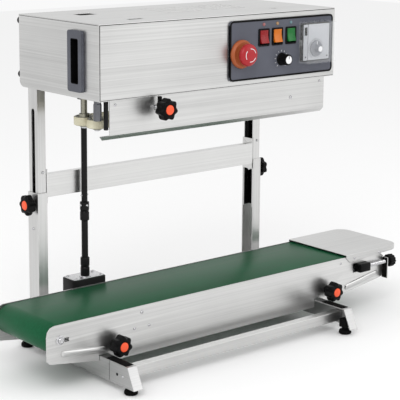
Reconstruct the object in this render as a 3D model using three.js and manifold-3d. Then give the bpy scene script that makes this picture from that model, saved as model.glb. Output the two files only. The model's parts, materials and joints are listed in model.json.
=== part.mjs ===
// Continuous band sealer on a base frame with a belt conveyor.
// Units are millimetres, +Z is up, +X runs along the belt and -Y faces the operator.
// Every shape is drawn in machine coordinates: X from the left end of the sealing head,
// Y from its front face, Z from the ground. The exported group then moves the origin to
// the centre of the machine's footprint.

import * as THREE from 'three';
import { mergeVertices } from 'three/addons/utils/BufferGeometryUtils.js';
import Module from 'manifold-3d';

const wasm = await Module();
wasm.setup();

// ---------- Driving dimensions ----------

const GAP = 0.3;               // clearance between pieces that touch
const SHEET = 2;               // thickness of the folded stainless sheet
const ROUND = 14;              // sides of a small round part

const HEAD = { length: 545, depth: 238, bottom: 487, top: 615, bend: 12, lip: 24 };

const POST = { width: 20, depth: 32, front: 192, inset: 4.5, lowerTop: 299, upperBottom: 200 };
const POST_SLOT = { width: 10, bottom: 260, top: 450 };
const POST_KNOB_Z = 278;

const CROSSBAR = { front: 194, depth: 12, bottom: 290, top: 332 };
const BRACKET = { thickness: 2.2, bottom: 279, top: 341 };

const ARM = { top: 49, bottom: 12, rear: 266, noseTop: -68, noseTip: -86 };
const FOOT = { radius: 12, height: 8, neck: 6, plugTop: 29, plugHalf: 8.5, frontY: -64, rearY: 250 };
const RAIL = { depth: 17, bottom: 19, top: 38, frontY: -45, rearY: 212 };

const CONVEYOR = { left: -103, right: 712, front: 10, rear: 170, bottom: 34, top: 120 };
const ROLLER = {
  radius: 24.3, shaft: 6, z: 93.5, front: 18, rear: 162, leftX: -76, driveX: 97, tensionX: 644,
};
const BELT = { thickness: 1.5, front: 14.5, rear: 165.5, clearance: 0.3 };
const COVER = { left: 604, right: 758, front: 8, rear: 172, top: 124.5, corner: 26, sheet: 1.7 };
const TENSION = {
  travel: 8, blockLeft: 634, blockRight: 662, blockBottom: 86, blockTop: 103, screwZ: 96, screwRadius: 4,
  frontBlock: [-3.5, 13.8], rearBlock: [166.2, 183.5],
};
const TAB = { front: [-4, 10.5], rear: [169.5, 184], bottom: 62, top: 105 };

const SHAFT = { x: 99, y: 183, rodRadius: 5.5, lowerRadius: 6, top: 500 };
const JOURNAL = { radius: 5, bottom: 104 };
const HUB = { bore: 5.9, radius: 12, flange: 20, bottom: 462, flangeBottom: 492, flangeTop: 497, top: 500 };
const GEARBOX = { left: 66, right: 138, front: 170.3, rear: 210, bottom: 62, top: 132 };
const JOINT = { radius: 8.5, lowerBottom: 136, lowerTop: 170, upperBottom: 239.5, upperTop: 274 };

const SEAL = { line: 88, wheelRadius: 17, bandThickness: 1, bottom: 431, top: 447, leftX: 46, rightX: 494 };
const WHEEL_SHAFT = { radius: 5, pulley: 15, pulleyBottom: 492, top: 497 };
const PRESS = {
  heating: [170, 260], cooling: [310, 400], depth: 20, bottom: 427, top: 451, pinRadius: 4, pinInset: 14,
};
const GUARD = { left: 28, right: 530, front: 10, bottom: 427, hem: 8, sheet: 1.5, tongue: 20 };

const GRIP = { front: 42, rear: 82, bottom: 498, top: 601, cupDepth: 22, proud: 6 };
const INLET = { left: 452, right: 488, bottom: 506, top: 534, flange: 4, body: 3, pocket: 6, depth: 16 };
const MOTOR = { left: 330, right: 441, radius: 34, y: 150, z: 550 };
const GEARHEAD = { right: 492, front: 118, rear: 182, bottom: 506, top: 590, shaftX: 466, shaftRadius: 6 };

const PANEL = { left: 281, right: 536, bottom: 497, top: 604, thickness: 3, corner: 8 };
const ESTOP = { x: 307.5, z: 545, ringRadius: 26.5, capRadius: 20, travel: 4 };
const ROCKER = { xs: [361.5, 394.5, 428], z: 571, width: 19, height: 24, tilt: -9 };
const SPEED_KNOB = { x: 406, z: 529, radius: 11, length: 20 };
const CONTROLLER = { x: 487, z: 555.5, face: 70, rear: 64, proud: 7.4, depth: 60 };
const DIAL = { x: 485, z: 543.5, radius: 15 };
const CLEAR_COVER = { left: 449, right: 525, bottom: 517.5, top: 593.5, front: -27, wall: 1.5 };

const STAR = { radius: 19.3, lobes: 7, lobeDepth: 0.11, studRadius: 4 };

// The footprint's centre, from the outermost parts of the machine.
const ORIGIN = {
  x: (CONVEYOR.left + COVER.right) / 2,
  y: (ARM.noseTip + ARM.rear) / 2,
};

// ---------- Finishes ----------

const finish = (color, roughness, metalness, extra = {}) =>
  new THREE.MeshStandardMaterial({ color, roughness, metalness, ...extra });

const FINISH = {
  stainless: finish(0xcfcfcc, 0.35, 1),
  galvanised: finish(0x9fa1a2, 0.5, 0.9),
  blackSteel: finish(0x151516, 0.45, 0.6),
  blackPlastic: finish(0x161616, 0.5, 0),
  greyPlastic: finish(0x7c7f88, 0.5, 0),
  palePlastic: finish(0xd9dbdc, 0.45, 0),
  rubber: finish(0x101010, 0.85, 0),
  belt: finish(0x2f5a3c, 0.55, 0),
  aluminium: finish(0xbfc1c3, 0.4, 1),
  brass: finish(0xb9a25c, 0.4, 1),
  sealBand: finish(0xc9b48a, 0.6, 0),
  panel: finish(0x5c6068, 0.55, 0.1),
  yellow: finish(0xe39a2c, 0.4, 0),
  red: finish(0xc3343c, 0.35, 0),
  amber: finish(0xe08a1c, 0.35, 0),
  green: finish(0x17803c, 0.35, 0),
  motor: finish(0x6f7478, 0.5, 0.5),
  clear: finish(0xf2f4f5, 0.1, 0, { transparent: true, opacity: 0.25 }),
};

// ---------- Solids ----------

// A closed geometry becomes a manifold once its shared vertices are merged.
function solid(geometry) {
  geometry.deleteAttribute('normal');
  geometry.deleteAttribute('uv');
  const merged = mergeVertices(geometry, 1e-5);
  return new wasm.Manifold(new wasm.Mesh({
    numProp: 3,
    vertProperties: new Float32Array(merged.attributes.position.array),
    triVerts: new Uint32Array(merged.index.array),
  }));
}

function geometryOf(manifold) {
  const mesh = manifold.getMesh();
  const geometry = new THREE.BufferGeometry();
  geometry.setAttribute('position', new THREE.BufferAttribute(mesh.vertProperties, 3));
  geometry.setIndex(new THREE.BufferAttribute(mesh.triVerts, 1));
  geometry.computeVertexNormals();
  return geometry;
}

const join = (first, ...others) => others.reduce((sum, other) => sum.add(other), first);
const cut = (first, ...others) => others.reduce((rest, other) => rest.subtract(other), first);

// A box from its three spans.
function block([x0, x1], [y0, y1], [z0, z1]) {
  const geometry = new THREE.BoxGeometry(x1 - x0, y1 - y0, z1 - z0);
  geometry.translate((x0 + x1) / 2, (y0 + y1) / 2, (z0 + z1) / 2);
  return solid(geometry);
}

const AXES = {
  x: new THREE.Matrix4().makeBasis(
    new THREE.Vector3(0, 1, 0), new THREE.Vector3(0, 0, 1), new THREE.Vector3(1, 0, 0)),
  y: new THREE.Matrix4().makeBasis(
    new THREE.Vector3(0, 0, 1), new THREE.Vector3(1, 0, 0), new THREE.Vector3(0, 1, 0)),
  z: new THREE.Matrix4(),
};

// An outline carried along one axis from `from` to `to`. The outline's two coordinates are
// (y, z) along x, (z, x) along y and (x, y) along z.
function prism(axis, shape, from, to, curveSegments = 8) {
  const settings = { depth: to - from, bevelEnabled: false, curveSegments };
  const geometry = new THREE.ExtrudeGeometry(shape, settings);
  geometry.translate(0, 0, from);
  geometry.applyMatrix4(AXES[axis]);
  return solid(geometry);
}

// An outline in (x, z), carried along Y from the front to the back.
function sidePrism(points, front, back) {
  return prism('y', outline(points.map(([x, z]) => [z, x])), front, back);
}

const outline = (points) => new THREE.Shape(points.map(([a, b]) => new THREE.Vector2(a, b)));

// A profile of [radius, height] points turned round one axis through `centre`.
function turned(axis, profile, centre, sides = ROUND) {
  const points = profile.map(([radius, height]) => new THREE.Vector2(radius, height));
  const geometry = new THREE.LatheGeometry(points, sides);
  geometry.rotateX(Math.PI / 2);
  geometry.applyMatrix4(AXES[axis]);
  geometry.translate(...centre);
  return solid(geometry);
}

// A round rod along one axis, from one height on that axis to another.
function rod(axis, radius, from, to, centre, sides = ROUND) {
  return turned(axis, [[0, from], [radius, from], [radius, to], [0, to]], centre, sides);
}

function roundedRect(a0, a1, b0, b1, radius) {
  const shape = new THREE.Shape();
  shape.moveTo(a0 + radius, b0);
  shape.absarc(a1 - radius, b0 + radius, radius, -Math.PI / 2, 0);
  shape.absarc(a1 - radius, b1 - radius, radius, 0, Math.PI / 2);
  shape.absarc(a0 + radius, b1 - radius, radius, Math.PI / 2, Math.PI);
  shape.absarc(a0 + radius, b0 + radius, radius, Math.PI, Math.PI * 1.5);
  return shape;
}

// Two half circles joined by straight runs: the outline of a belt on two equal wheels.
function stadium(a0, a1, b, radius) {
  const shape = new THREE.Shape();
  shape.absarc(a1, b, radius, -Math.PI / 2, Math.PI / 2);
  shape.absarc(a0, b, radius, Math.PI / 2, Math.PI * 1.5);
  return shape;
}

// ---------- Scene ----------

const machine = new THREE.Group();

function addPart(name, manifold, material) {
  const mesh = new THREE.Mesh(geometryOf(manifold), material);
  mesh.name = name;
  machine.add(mesh);
}

// Pieces at the right end are the left ones reflected about the head's middle.
const mirroredSpan = ([x0, x1]) => [HEAD.length - x1, HEAD.length - x0];
const SIDES = [
  { name: 'left', span: (s) => s, outward: -1 },
  { name: 'right', span: mirroredSpan, outward: 1 },
];

// ---------- Base frame ----------

function armSolid(span) {
  const { top, bottom, rear, noseTop, noseTip } = ARM;
  const outer = POST.inset;
  const inner = POST.inset + POST.width;
  const side = outline([[noseTip, bottom], [rear, bottom], [rear, top], [noseTop, top]]);
  const web = prism('x', side, ...span([outer, outer + SHEET]));
  const roof = block(span([outer, inner]), [noseTop, rear], [top - SHEET, top]);
  const nose = outline([
    [noseTip, bottom], [noseTip + SHEET * 1.2, bottom], [noseTop + SHEET * 1.2, top], [noseTop, top],
  ]);
  const back = block(span([outer, inner]), [rear - SHEET, rear], [bottom, top]);
  return join(web, roof, prism('x', nose, ...span([outer, inner])), back);
}

function footSolid(span, y) {
  const [x0, x1] = span([POST.inset + SHEET + GAP, POST.inset + POST.width]);
  const centre = [(x0 + x1) / 2, y, 0];
  const { radius, height, neck, plugTop, plugHalf } = FOOT;
  const neckTop = ARM.bottom + 4;
  const pad = turned('z', [
    [0, 0], [radius - 1, 0], [radius, 1.5], [radius - 1.5, height],
    [neck, height], [neck, neckTop], [0, neckTop],
  ], centre, 20);
  return join(pad, block([x0, x1], [y - plugHalf, y + plugHalf], [ARM.bottom + 1, plugTop]));
}

for (const { name, span } of SIDES) {
  addPart(`${name}_arm`, armSolid(span), FINISH.stainless);
  addPart(`front_${name}_foot`, footSolid(span, FOOT.frontY), FINISH.rubber);
  addPart(`rear_${name}_foot`, footSolid(span, FOOT.rearY), FINISH.rubber);
}

const RAIL_SPAN = [POST.inset + SHEET + GAP, HEAD.length - POST.inset - SHEET - GAP];

// Square tubes with open ends, let into the open sides of both arms.
function railSolid(y) {
  const outer = block(RAIL_SPAN, [y, y + RAIL.depth], [RAIL.bottom, RAIL.top]);
  const hollow = block(
    [RAIL_SPAN[0] - 1, RAIL_SPAN[1] + 1],
    [y + SHEET, y + RAIL.depth - SHEET],
    [RAIL.bottom + SHEET, RAIL.top - SHEET]);
  return cut(outer, hollow);
}

addPart('front_rail', railSolid(RAIL.frontY), FINISH.stainless);
addPart('rear_rail', railSolid(RAIL.rearY), FINISH.stainless);

// ---------- Posts ----------

// A channel with its web outside and its mouth towards the machine's middle.
function channel(span, [x0, x1], [y0, y1], [z0, z1]) {
  const outer = block(span([x0, x1]), [y0, y1], [z0, z1]);
  const hollow = block(span([x0 + SHEET, x1 + 1]), [y0 + SHEET, y1 - SHEET], [z0 - 1, z1 + 1]);
  return cut(outer, hollow);
}

const POST_MIDDLE = POST.front + POST.depth / 2;

function lowerPost(span) {
  const x = [POST.inset, POST.inset + POST.width];
  const body = channel(span, x, [POST.front, POST.front + POST.depth], [ARM.top + GAP, POST.lowerTop]);
  const [from, to] = span([POST.inset - 1, POST.inset + SHEET + 1]);
  return cut(body, rod('x', STAR.studRadius + 0.8, from, to, [0, POST_MIDDLE, POST_KNOB_Z]));
}

function upperPost(span) {
  const wall = SHEET + GAP;
  const x = [POST.inset + wall, POST.inset + POST.width - 0.7];
  const y = [POST.front + wall, POST.front + POST.depth - wall];
  const body = channel(span, x, y, [POST.upperBottom, HEAD.bottom - GAP]);
  const half = POST_SLOT.width / 2;
  const slot = roundedRect(
    POST_MIDDLE - half, POST_MIDDLE + half, POST_SLOT.bottom, POST_SLOT.top, half - 0.01);
  return cut(body, prism('x', slot, ...span([x[0] - 1, x[0] + SHEET + 1])));
}

for (const { name, span } of SIDES) {
  addPart(`${name}_lower_post`, lowerPost(span), FINISH.stainless);
  addPart(`${name}_upper_post`, upperPost(span), FINISH.stainless);
}

// The crossbar is a channel with a plate at each end that bolts to the upper posts.
function crossbarSolid() {
  const left = POST.inset + POST.width + GAP;
  const right = HEAD.length - left;
  const y0 = CROSSBAR.front;
  const y1 = y0 + CROSSBAR.depth;
  const bar = cut(
    block([left, right], [y0, y1], [CROSSBAR.bottom, CROSSBAR.top]),
    block([left - 1, right + 1], [y0 + SHEET, y1 + 1], [CROSSBAR.bottom + SHEET, CROSSBAR.top - SHEET]));
  const plateY = [POST.front + SHEET + GAP, POST.front + POST.depth - SHEET - GAP];
  const plateZ = [BRACKET.bottom, BRACKET.top];
  const t = BRACKET.thickness;
  return join(bar, block([left, left + t], plateY, plateZ), block([right - t, right], plateY, plateZ));
}

addPart('crossbar', crossbarSolid(), FINISH.stainless);

// ---------- Star knobs ----------

// A moulded star knob on a steel stud. It is drawn along +Z with its seat at zero: the hub and
// the lobed head stand above it and the stud goes below.
function starKnob({ hub, head, stud }) {
  const { radius, lobes, lobeDepth, studRadius } = STAR;
  const steps = lobes * 5;
  const mean = radius / (1 + lobeDepth);
  const rim = Array.from({ length: steps }, (_, i) => {
    const angle = (i / steps) * Math.PI * 2;
    const r = mean * (1 + lobeDepth * Math.cos(lobes * angle));
    return [r * Math.cos(angle), r * Math.sin(angle)];
  });
  return join(
    prism('z', outline(rim), hub, hub + head),
    rod('z', 9.5, 0, hub + 1, [0, 0, 0]),
    rod('z', studRadius, -stud, 1, [0, 0, 0], 10));
}

function addKnob(name, position, direction, sizes) {
  const mesh = new THREE.Mesh(geometryOf(starKnob(sizes)), FINISH.blackPlastic);
  mesh.name = name;
  mesh.position.set(...position);
  mesh.quaternion.setFromUnitVectors(new THREE.Vector3(0, 0, 1), new THREE.Vector3(...direction));
  machine.add(mesh);
}

for (const { name, span, outward } of SIDES) {
  const [x0, x1] = span([POST.inset - GAP, POST.inset]);
  const seat = outward < 0 ? x0 : x1;
  addKnob(`${name}_post_knob`, [seat, POST_MIDDLE, POST_KNOB_Z], [outward, 0, 0],
    { hub: 5, head: 14, stud: 18 });
}

const CONVEYOR_KNOBS = { left: 36, right: 552 };
const CONVEYOR_KNOB_Z = 65;
for (const [name, x] of Object.entries(CONVEYOR_KNOBS)) {
  addKnob(`${name}_conveyor_knob`, [x, CONVEYOR.front - GAP, CONVEYOR_KNOB_Z], [0, -1, 0],
    { hub: 10, head: 20, stud: 4 });
}

const GUARD_KNOB = { x: 126, y: -4, z: 466 };
addKnob('guard_knob', [GUARD_KNOB.x, GUARD_KNOB.y, GUARD_KNOB.z], [0, -1, 0],
  { hub: 6, head: 20, stud: 36 });

// ---------- Conveyor ----------

const ARM_NOTCHES = SIDES.map(({ span }) =>
  span([POST.inset - 1, POST.inset + POST.width + 1]));

// Long side plates: deep in the middle, rising towards both ends, notched over the arms.
function sidePlate(y0, y1, tabY, shafts) {
  const { left, right, bottom, top } = CONVEYOR;
  const plate = sidePrism([
    [left, 61], [left + 6, 55], [48, bottom], [517, bottom + 1], [right - 8, 63], [right, 66],
    [right, 106], [right - 16, top], [left + 15, top], [left + 7, top - 3], [left + 2, top - 9],
    [left, top - 18],
  ], y0, y1);
  const tab = block([right - SHEET, right], tabY, [TAB.bottom, TAB.top]);
  const window = block(
    [TENSION.blockLeft - TENSION.travel - 1, TENSION.blockRight + 1], [y0 - 1, y1 + 1],
    [TENSION.blockBottom - 0.5, TENSION.blockTop + 0.5]);
  const through = [y0 - 1, y1 + 1];
  const notches = ARM_NOTCHES.map((x) => block(x, through, [bottom - 2, ARM.top + 1]));
  const shaftHoles = shafts.map((x) =>
    rod('y', ROLLER.shaft + 0.6, ...through, [x, 0, ROLLER.z]));
  const knobHoles = Object.values(CONVEYOR_KNOBS).map((x) =>
    rod('y', STAR.studRadius + 0.8, ...through, [x, 0, CONVEYOR_KNOB_Z]));
  const screwY = (tabY[0] + tabY[1]) / 2;
  const screwHole = rod(
    'x', TENSION.screwRadius + 0.8, right - 6, right + 4, [0, screwY, TENSION.screwZ]);
  return cut(join(plate, tab), window, ...notches, ...shaftHoles, ...knobHoles, screwHole);
}

// The driven roller's front bearing is behind the front plate, so only the rear plate has its hole.
const FRONT_PLATE = [CONVEYOR.front, CONVEYOR.front + SHEET];
const REAR_PLATE = [CONVEYOR.rear - SHEET, CONVEYOR.rear];
const frontPlate = sidePlate(...FRONT_PLATE, TAB.front, [ROLLER.leftX]);
const rearPlate = sidePlate(...REAR_PLATE, TAB.rear, [ROLLER.leftX, ROLLER.driveX]);
addPart('front_side_plate', frontPlate, FINISH.stainless);
addPart('rear_side_plate', rearPlate, FINISH.stainless);

// The bed carries the upper run. It is a tray with a window where the drive roller comes up.
function beltBed() {
  const x = [-46, 612];
  const y = [CONVEYOR.front + SHEET + GAP, CONVEYOR.rear - SHEET - GAP];
  const top = ROLLER.z + ROLLER.radius + BELT.clearance - 0.4;
  const tray = cut(
    block(x, y, [101, top]),
    block([x[0] - 1, x[1] + 1], [y[0] + SHEET, y[1] - SHEET], [100, top - SHEET]));
  const reach = ROLLER.radius + 3;
  const window = block([ROLLER.driveX - reach, ROLLER.driveX + reach], [y[0] + 3.5, y[1] - 3.5], [90, 130]);
  return cut(tray, window);
}

addPart('belt_bed', beltBed(), FINISH.galvanised);

function beltLoop() {
  const inner = ROLLER.radius + BELT.clearance;
  const outer = inner + BELT.thickness;
  const loop = (radius, y0, y1) => {
    const shape = new THREE.Shape();
    shape.absarc(ROLLER.z, ROLLER.tensionX, radius, 0, Math.PI);
    shape.absarc(ROLLER.z, ROLLER.leftX, radius, Math.PI, Math.PI * 2);
    return prism('y', shape, y0, y1, 12);
  };
  return cut(loop(outer, BELT.front, BELT.rear), loop(inner, BELT.front - 1, BELT.rear + 1));
}

addPart('conveyor_belt', beltLoop(), FINISH.belt);

// Rollers turn about Y: the left one on stub shafts, the driven one on a long shaft that
// reaches into the gearbox, and the tension roller as a tube on the carriage's axle.
function shaftRoller(x, radius, front, rear) {
  const { radius: r, front: y0, rear: y1 } = ROLLER;
  return turned('y', [
    [0, front], [radius, front], [radius, y0], [r - 1, y0], [r, y0 + 1],
    [r, y1 - 1], [r - 1, y1], [radius, y1], [radius, rear], [0, rear],
  ], [x, 0, ROLLER.z], 20);
}

addPart('left_roller', shaftRoller(ROLLER.leftX, ROLLER.shaft, 8, 172), FINISH.aluminium);
const PLATE_INSIDE = CONVEYOR.front + SHEET + GAP;
addPart('drive_roller', shaftRoller(ROLLER.driveX, ROLLER.shaft, PLATE_INSIDE, 204), FINISH.rubber);
addPart('tension_roller', turned('y', [
  [ROLLER.shaft + 0.4, ROLLER.front], [ROLLER.radius, ROLLER.front], [ROLLER.radius, ROLLER.rear],
  [ROLLER.shaft + 0.4, ROLLER.rear], [ROLLER.shaft + 0.4, ROLLER.front],
], [ROLLER.tensionX, 0, ROLLER.z], 20), FINISH.aluminium);

function tensionCarriage() {
  const x = [TENSION.blockLeft, TENSION.blockRight];
  const z = [TENSION.blockBottom, TENSION.blockTop];
  return join(
    rod('y', ROLLER.shaft, 0, 180, [ROLLER.tensionX, 0, ROLLER.z]),
    block(x, TENSION.frontBlock, z),
    block(x, TENSION.rearBlock, z));
}

addPart('tension_carriage', tensionCarriage(), FINISH.blackPlastic);

// Tension screws: a ribbed knob outside the tab and a long screw that meets the carriage.
function tensionScrew(y) {
  const seat = CONVEYOR.right + GAP;
  const knob = Array.from({ length: 36 }, (_, i) => {
    const angle = (i / 36) * Math.PI * 2;
    const r = 12 + 0.8 * Math.cos(12 * angle);
    return [y + r * Math.cos(angle), TENSION.screwZ + r * Math.sin(angle)];
  });
  return join(
    prism('x', outline(knob), seat + 4, seat + 20),
    rod('x', 6.5, seat, seat + 5, [0, y, TENSION.screwZ]),
    rod('x', TENSION.screwRadius, TENSION.blockRight + GAP, seat + 1, [0, y, TENSION.screwZ], 16));
}

const middleOf = ([from, to]) => (from + to) / 2;
addPart('front_tension_screw', tensionScrew(middleOf(TAB.front)), FINISH.blackPlastic);
addPart('rear_tension_screw', tensionScrew(middleOf(TAB.rear)), FINISH.blackPlastic);

// The end cover is a shallow folded lid with two round corners at its outer end.
function endCover() {
  const { left, right, front, rear, top, corner, sheet } = COVER;
  const lid = (x0, x1, y0, y1, radius, z0, z1) => {
    const shape = new THREE.Shape();
    shape.moveTo(x0, y0);
    shape.lineTo(x1 - radius, y0);
    shape.absarc(x1 - radius, y0 + radius, radius, -Math.PI / 2, 0);
    shape.absarc(x1 - radius, y1 - radius, radius, 0, Math.PI / 2);
    shape.lineTo(x0, y1);
    return prism('z', shape, z0, z1);
  };
  const outer = lid(left, right, front, rear, corner, 107, top);
  const inner = lid(
    left - 1, right - sheet, front + sheet, rear - sheet, corner - sheet, 106, top - sheet);
  const taper = sidePrism([
    [left - 1, 100], [right + 1, 100], [right + 1, 115], [700, 113.5], [left + 10, 108], [left - 1, 119],
  ], front - 1, rear + 1);
  return cut(outer, inner, taper);
}

addPart('end_cover', endCover(), FINISH.stainless);

// ---------- Drive from the head to the conveyor ----------

const shaftRod = (radius, from, to, sides = ROUND) =>
  rod('z', radius, from, to, [SHAFT.x, SHAFT.y, 0], sides);

function gearboxBody() {
  const { left, right, front, rear, bottom, top } = GEARBOX;
  return cut(
    block([left, right], [front, rear], [bottom, top]),
    shaftRod(JOURNAL.radius + 0.6, JOURNAL.bottom - 1, top + 1),
    rod('y', ROLLER.shaft + 0.6, front - 1, rear - 5, [ROLLER.driveX, 0, ROLLER.z]));
}

addPart('gearbox_body', gearboxBody(), FINISH.blackSteel);

// Each universal joint is a sleeve with a narrow waist round its cross pin.
function universalJoint(from, to) {
  const r = JOINT.radius;
  const middle = (from + to) / 2;
  return turned('z', [
    [0, from], [r - 0.6, from], [r, from + 0.8], [r, middle - 2], [r - 1.5, middle - 1],
    [r - 1.5, middle + 1], [r, middle + 2], [r, to - 0.8], [r - 0.6, to], [0, to],
  ], [SHAFT.x, SHAFT.y, 0]);
}

addPart('drive_rod', shaftRod(SHAFT.rodRadius, JOINT.upperTop + GAP, SHAFT.top), FINISH.blackSteel);
addPart('upper_universal_joint', universalJoint(JOINT.upperBottom, JOINT.upperTop), FINISH.blackSteel);

// The lower shaft has its own joint at the foot and a journal that enters the gearbox.
addPart('lower_drive_shaft', join(
  universalJoint(JOINT.lowerBottom, JOINT.lowerTop),
  shaftRod(JOURNAL.radius, JOURNAL.bottom, JOINT.lowerBottom + 1),
  shaftRod(SHAFT.lowerRadius, JOINT.lowerTop - 1, JOINT.upperBottom - GAP)), FINISH.blackSteel);

// The hub in the head turns with the rod and lets it slide as the head goes up and down.
addPart('drive_hub', turned('z', [
  [HUB.bore, HUB.bottom], [HUB.radius, HUB.bottom], [HUB.radius, HUB.flangeBottom],
  [HUB.flange, HUB.flangeBottom], [HUB.flange, HUB.flangeTop], [HUB.radius, HUB.flangeTop],
  [HUB.radius, HUB.top], [HUB.bore, HUB.top], [HUB.bore, HUB.bottom],
], [SHAFT.x, SHAFT.y, 0]), FINISH.blackSteel);

// ---------- Head casing ----------

// Vent and adjustment slots through the roof, each as its spans in X and Y.
const ROOF_SLOTS = [
  [[70, 108], [150, 180]],
  [[91, 125], [38, 53]],
  [[430, 446], [50, 59]],
];

function headShell() {
  const { length, depth, bottom, top, bend, lip } = HEAD;
  const section = (inset, low) => {
    const shape = new THREE.Shape();
    shape.moveTo(inset, low);
    shape.lineTo(depth - lip, low);
    if (inset > 0) shape.lineTo(depth - lip, bottom + inset);
    shape.absarc(depth - bend, bottom + bend, bend - inset, -Math.PI / 2, 0);
    shape.lineTo(depth - inset, top - inset);
    shape.lineTo(inset, top - inset);
    return shape;
  };
  const casing = cut(
    prism('x', section(0, bottom), 0, length),
    prism('x', section(SHEET, bottom - 1), SHEET, length - SHEET));
  const roof = [top - SHEET - 1, top + 1];
  const frontWall = [-1, SHEET + 1];
  return cut(casing,
    block([-1, SHEET + 1], [GRIP.front + 6, GRIP.rear - 6], [GRIP.bottom + 10, GRIP.top - 10]),
    block([PANEL.left + 15, PANEL.right - 12], frontWall, [PANEL.bottom + 8, PANEL.top - 8]),
    ...ROOF_SLOTS.map(([x, y]) => block(x, y, roof)),
    block([INLET.left + 2, INLET.right - 2], [depth - SHEET - 1, depth + 1],
      [INLET.bottom + 2, INLET.top - 2]));
}

addPart('head_shell', headShell(), FINISH.stainless);

const FRONT_WHEEL_Y = SEAL.line - 0.6 - SEAL.bandThickness - GAP - SEAL.wheelRadius;
const REAR_WHEEL_Y = 2 * SEAL.line - FRONT_WHEEL_Y;
const WHEELS = [
  ['front_infeed_wheel', SEAL.leftX, FRONT_WHEEL_Y],
  ['rear_infeed_wheel', SEAL.leftX, REAR_WHEEL_Y],
  ['front_outfeed_wheel', SEAL.rightX, FRONT_WHEEL_Y],
  ['rear_outfeed_wheel', SEAL.rightX, REAR_WHEEL_Y],
];

function headBasePlate() {
  const edge = SHEET + GAP;
  const plate = block(
    [edge, HEAD.length - edge], [edge, HEAD.depth - HEAD.lip - GAP], [HEAD.bottom, HEAD.bottom + SHEET]);
  const level = [HEAD.bottom - 1, HEAD.bottom + SHEET + 1];
  const wheelHoles = WHEELS.map(([, x, y]) => rod('z', WHEEL_SHAFT.radius + 0.6, ...level, [x, y, 0], 16));
  return cut(plate, shaftRod(HUB.radius + 1, ...level), ...wheelHoles);
}

addPart('head_base_plate', headBasePlate(), FINISH.galvanised);

// The guard hangs below the head's front. Its lower edge is folded in and runs on past its
// left end as a tongue that leads the bags in.
function frontGuard() {
  const { left, right, front, bottom, hem, sheet, tongue } = GUARD;
  const drop = bottom - hem;
  const fold = [
    [front, bottom], [front + hem, drop], [front + hem + sheet, drop + 0.6], [front + sheet, bottom + 0.6],
  ];
  const skirt = outline([
    ...fold.slice(0, 3), [front + sheet, bottom + 0.6], [front + sheet, HEAD.bottom - GAP],
    [front, HEAD.bottom - GAP],
  ]);
  const lead = prism('x', outline(fold), left - tongue, left + 1);
  const corner = sidePrism([
    [left - tongue - 1, drop - 1], [left - tongue + 12, drop - 1], [left - tongue - 1, bottom + 1],
  ], front - 1, front + hem + 4);
  const studHole = rod('y', STAR.studRadius + 0.8, front - 1, front + 4, [GUARD_KNOB.x, 0, GUARD_KNOB.z]);
  return cut(join(prism('x', skirt, left, right), cut(lead, corner)), studHole);
}

addPart('front_guard', frontGuard(), FINISH.stainless);

// A carrying grip let into the left end wall: a flange outside and a cup inside.
function endHandle() {
  const { front, rear, bottom, top, cupDepth, proud } = GRIP;
  const flange = prism('x', roundedRect(front, rear, bottom, top, 5), -proud, -GAP);
  const cup = block([-1, cupDepth], [front + 7, rear - 7], [bottom + 11, top - 11]);
  const pocket = roundedRect(front + 9, rear - 9, bottom + 13.5, top - 13.5, 3);
  return cut(join(flange, cup), prism('x', pocket, -proud - 1, cupDepth - SHEET));
}

addPart('end_handle', endHandle(), FINISH.greyPlastic);

function powerInlet() {
  const y = HEAD.depth;
  const { left, right, bottom, top, flange, body, pocket, depth } = INLET;
  const inset = (by, ys) => block([left + by, right - by], ys, [bottom + by, top - by]);
  return cut(
    join(inset(0, [y + GAP, y + flange]), inset(body, [y - depth, y + 1])),
    inset(pocket, [y + flange - depth, y + flange + 1]));
}

addPart('power_inlet', powerInlet(), FINISH.blackPlastic);

function motorSolid() {
  const { right, front, rear, bottom, top, shaftX, shaftRadius } = GEARHEAD;
  return join(
    rod('x', MOTOR.radius, MOTOR.left, MOTOR.right, [0, MOTOR.y, MOTOR.z]),
    block([MOTOR.right - 1, right], [front, rear], [bottom, top]),
    rod('z', shaftRadius, bottom - 12, bottom + 1, [shaftX, MOTOR.y, 0]));
}

addPart('motor', motorSolid(), FINISH.motor);

// ---------- Sealing bands, wheels and blocks ----------

function wheelSolid(x, y) {
  const { wheelRadius: r, bottom, top } = SEAL;
  const { radius, pulley, pulleyBottom, top: shaftTop } = WHEEL_SHAFT;
  return turned('z', [
    [0, bottom - 3], [8, bottom - 3], [8, bottom], [r - 1, bottom], [r, bottom + 1], [r, top - 1],
    [r - 1, top], [9, top], [9, top + 4], [radius, top + 4], [radius, pulleyBottom],
    [pulley, pulleyBottom], [pulley, shaftTop], [0, shaftTop],
  ], [x, y, 0], 18);
}

WHEELS.forEach(([name, x, y]) => addPart(name, wheelSolid(x, y), FINISH.brass));

function sealingBand(y) {
  const inner = SEAL.wheelRadius + GAP;
  const loop = (radius, z0, z1) =>
    prism('z', stadium(SEAL.leftX, SEAL.rightX, y, radius), z0, z1, 9);
  const z = [SEAL.bottom + 1, SEAL.top - 1];
  return cut(loop(inner + SEAL.bandThickness, ...z), loop(inner, z[0] - 1, z[1] + 1));
}

addPart('front_sealing_band', sealingBand(FRONT_WHEEL_Y), FINISH.sealBand);
addPart('rear_sealing_band', sealingBand(REAR_WHEEL_Y), FINISH.sealBand);

// Heating and cooling blocks press on the inner runs and hang from the base plate on two pins.
function pressBlock([x0, x1], side) {
  const reach = SEAL.bandThickness + 0.6 + GAP;
  const { depth, bottom, top, pinRadius, pinInset } = PRESS;
  const ys = [SEAL.line + side * reach, SEAL.line + side * (reach + depth)].sort((a, b) => a - b);
  const pins = [x0 + pinInset, x1 - pinInset].map((x) =>
    rod('z', pinRadius, top - 1, HEAD.bottom - GAP, [x, middleOf(ys), 0], 12));
  return join(block([x0, x1], ys, [bottom, top]), ...pins);
}

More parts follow.
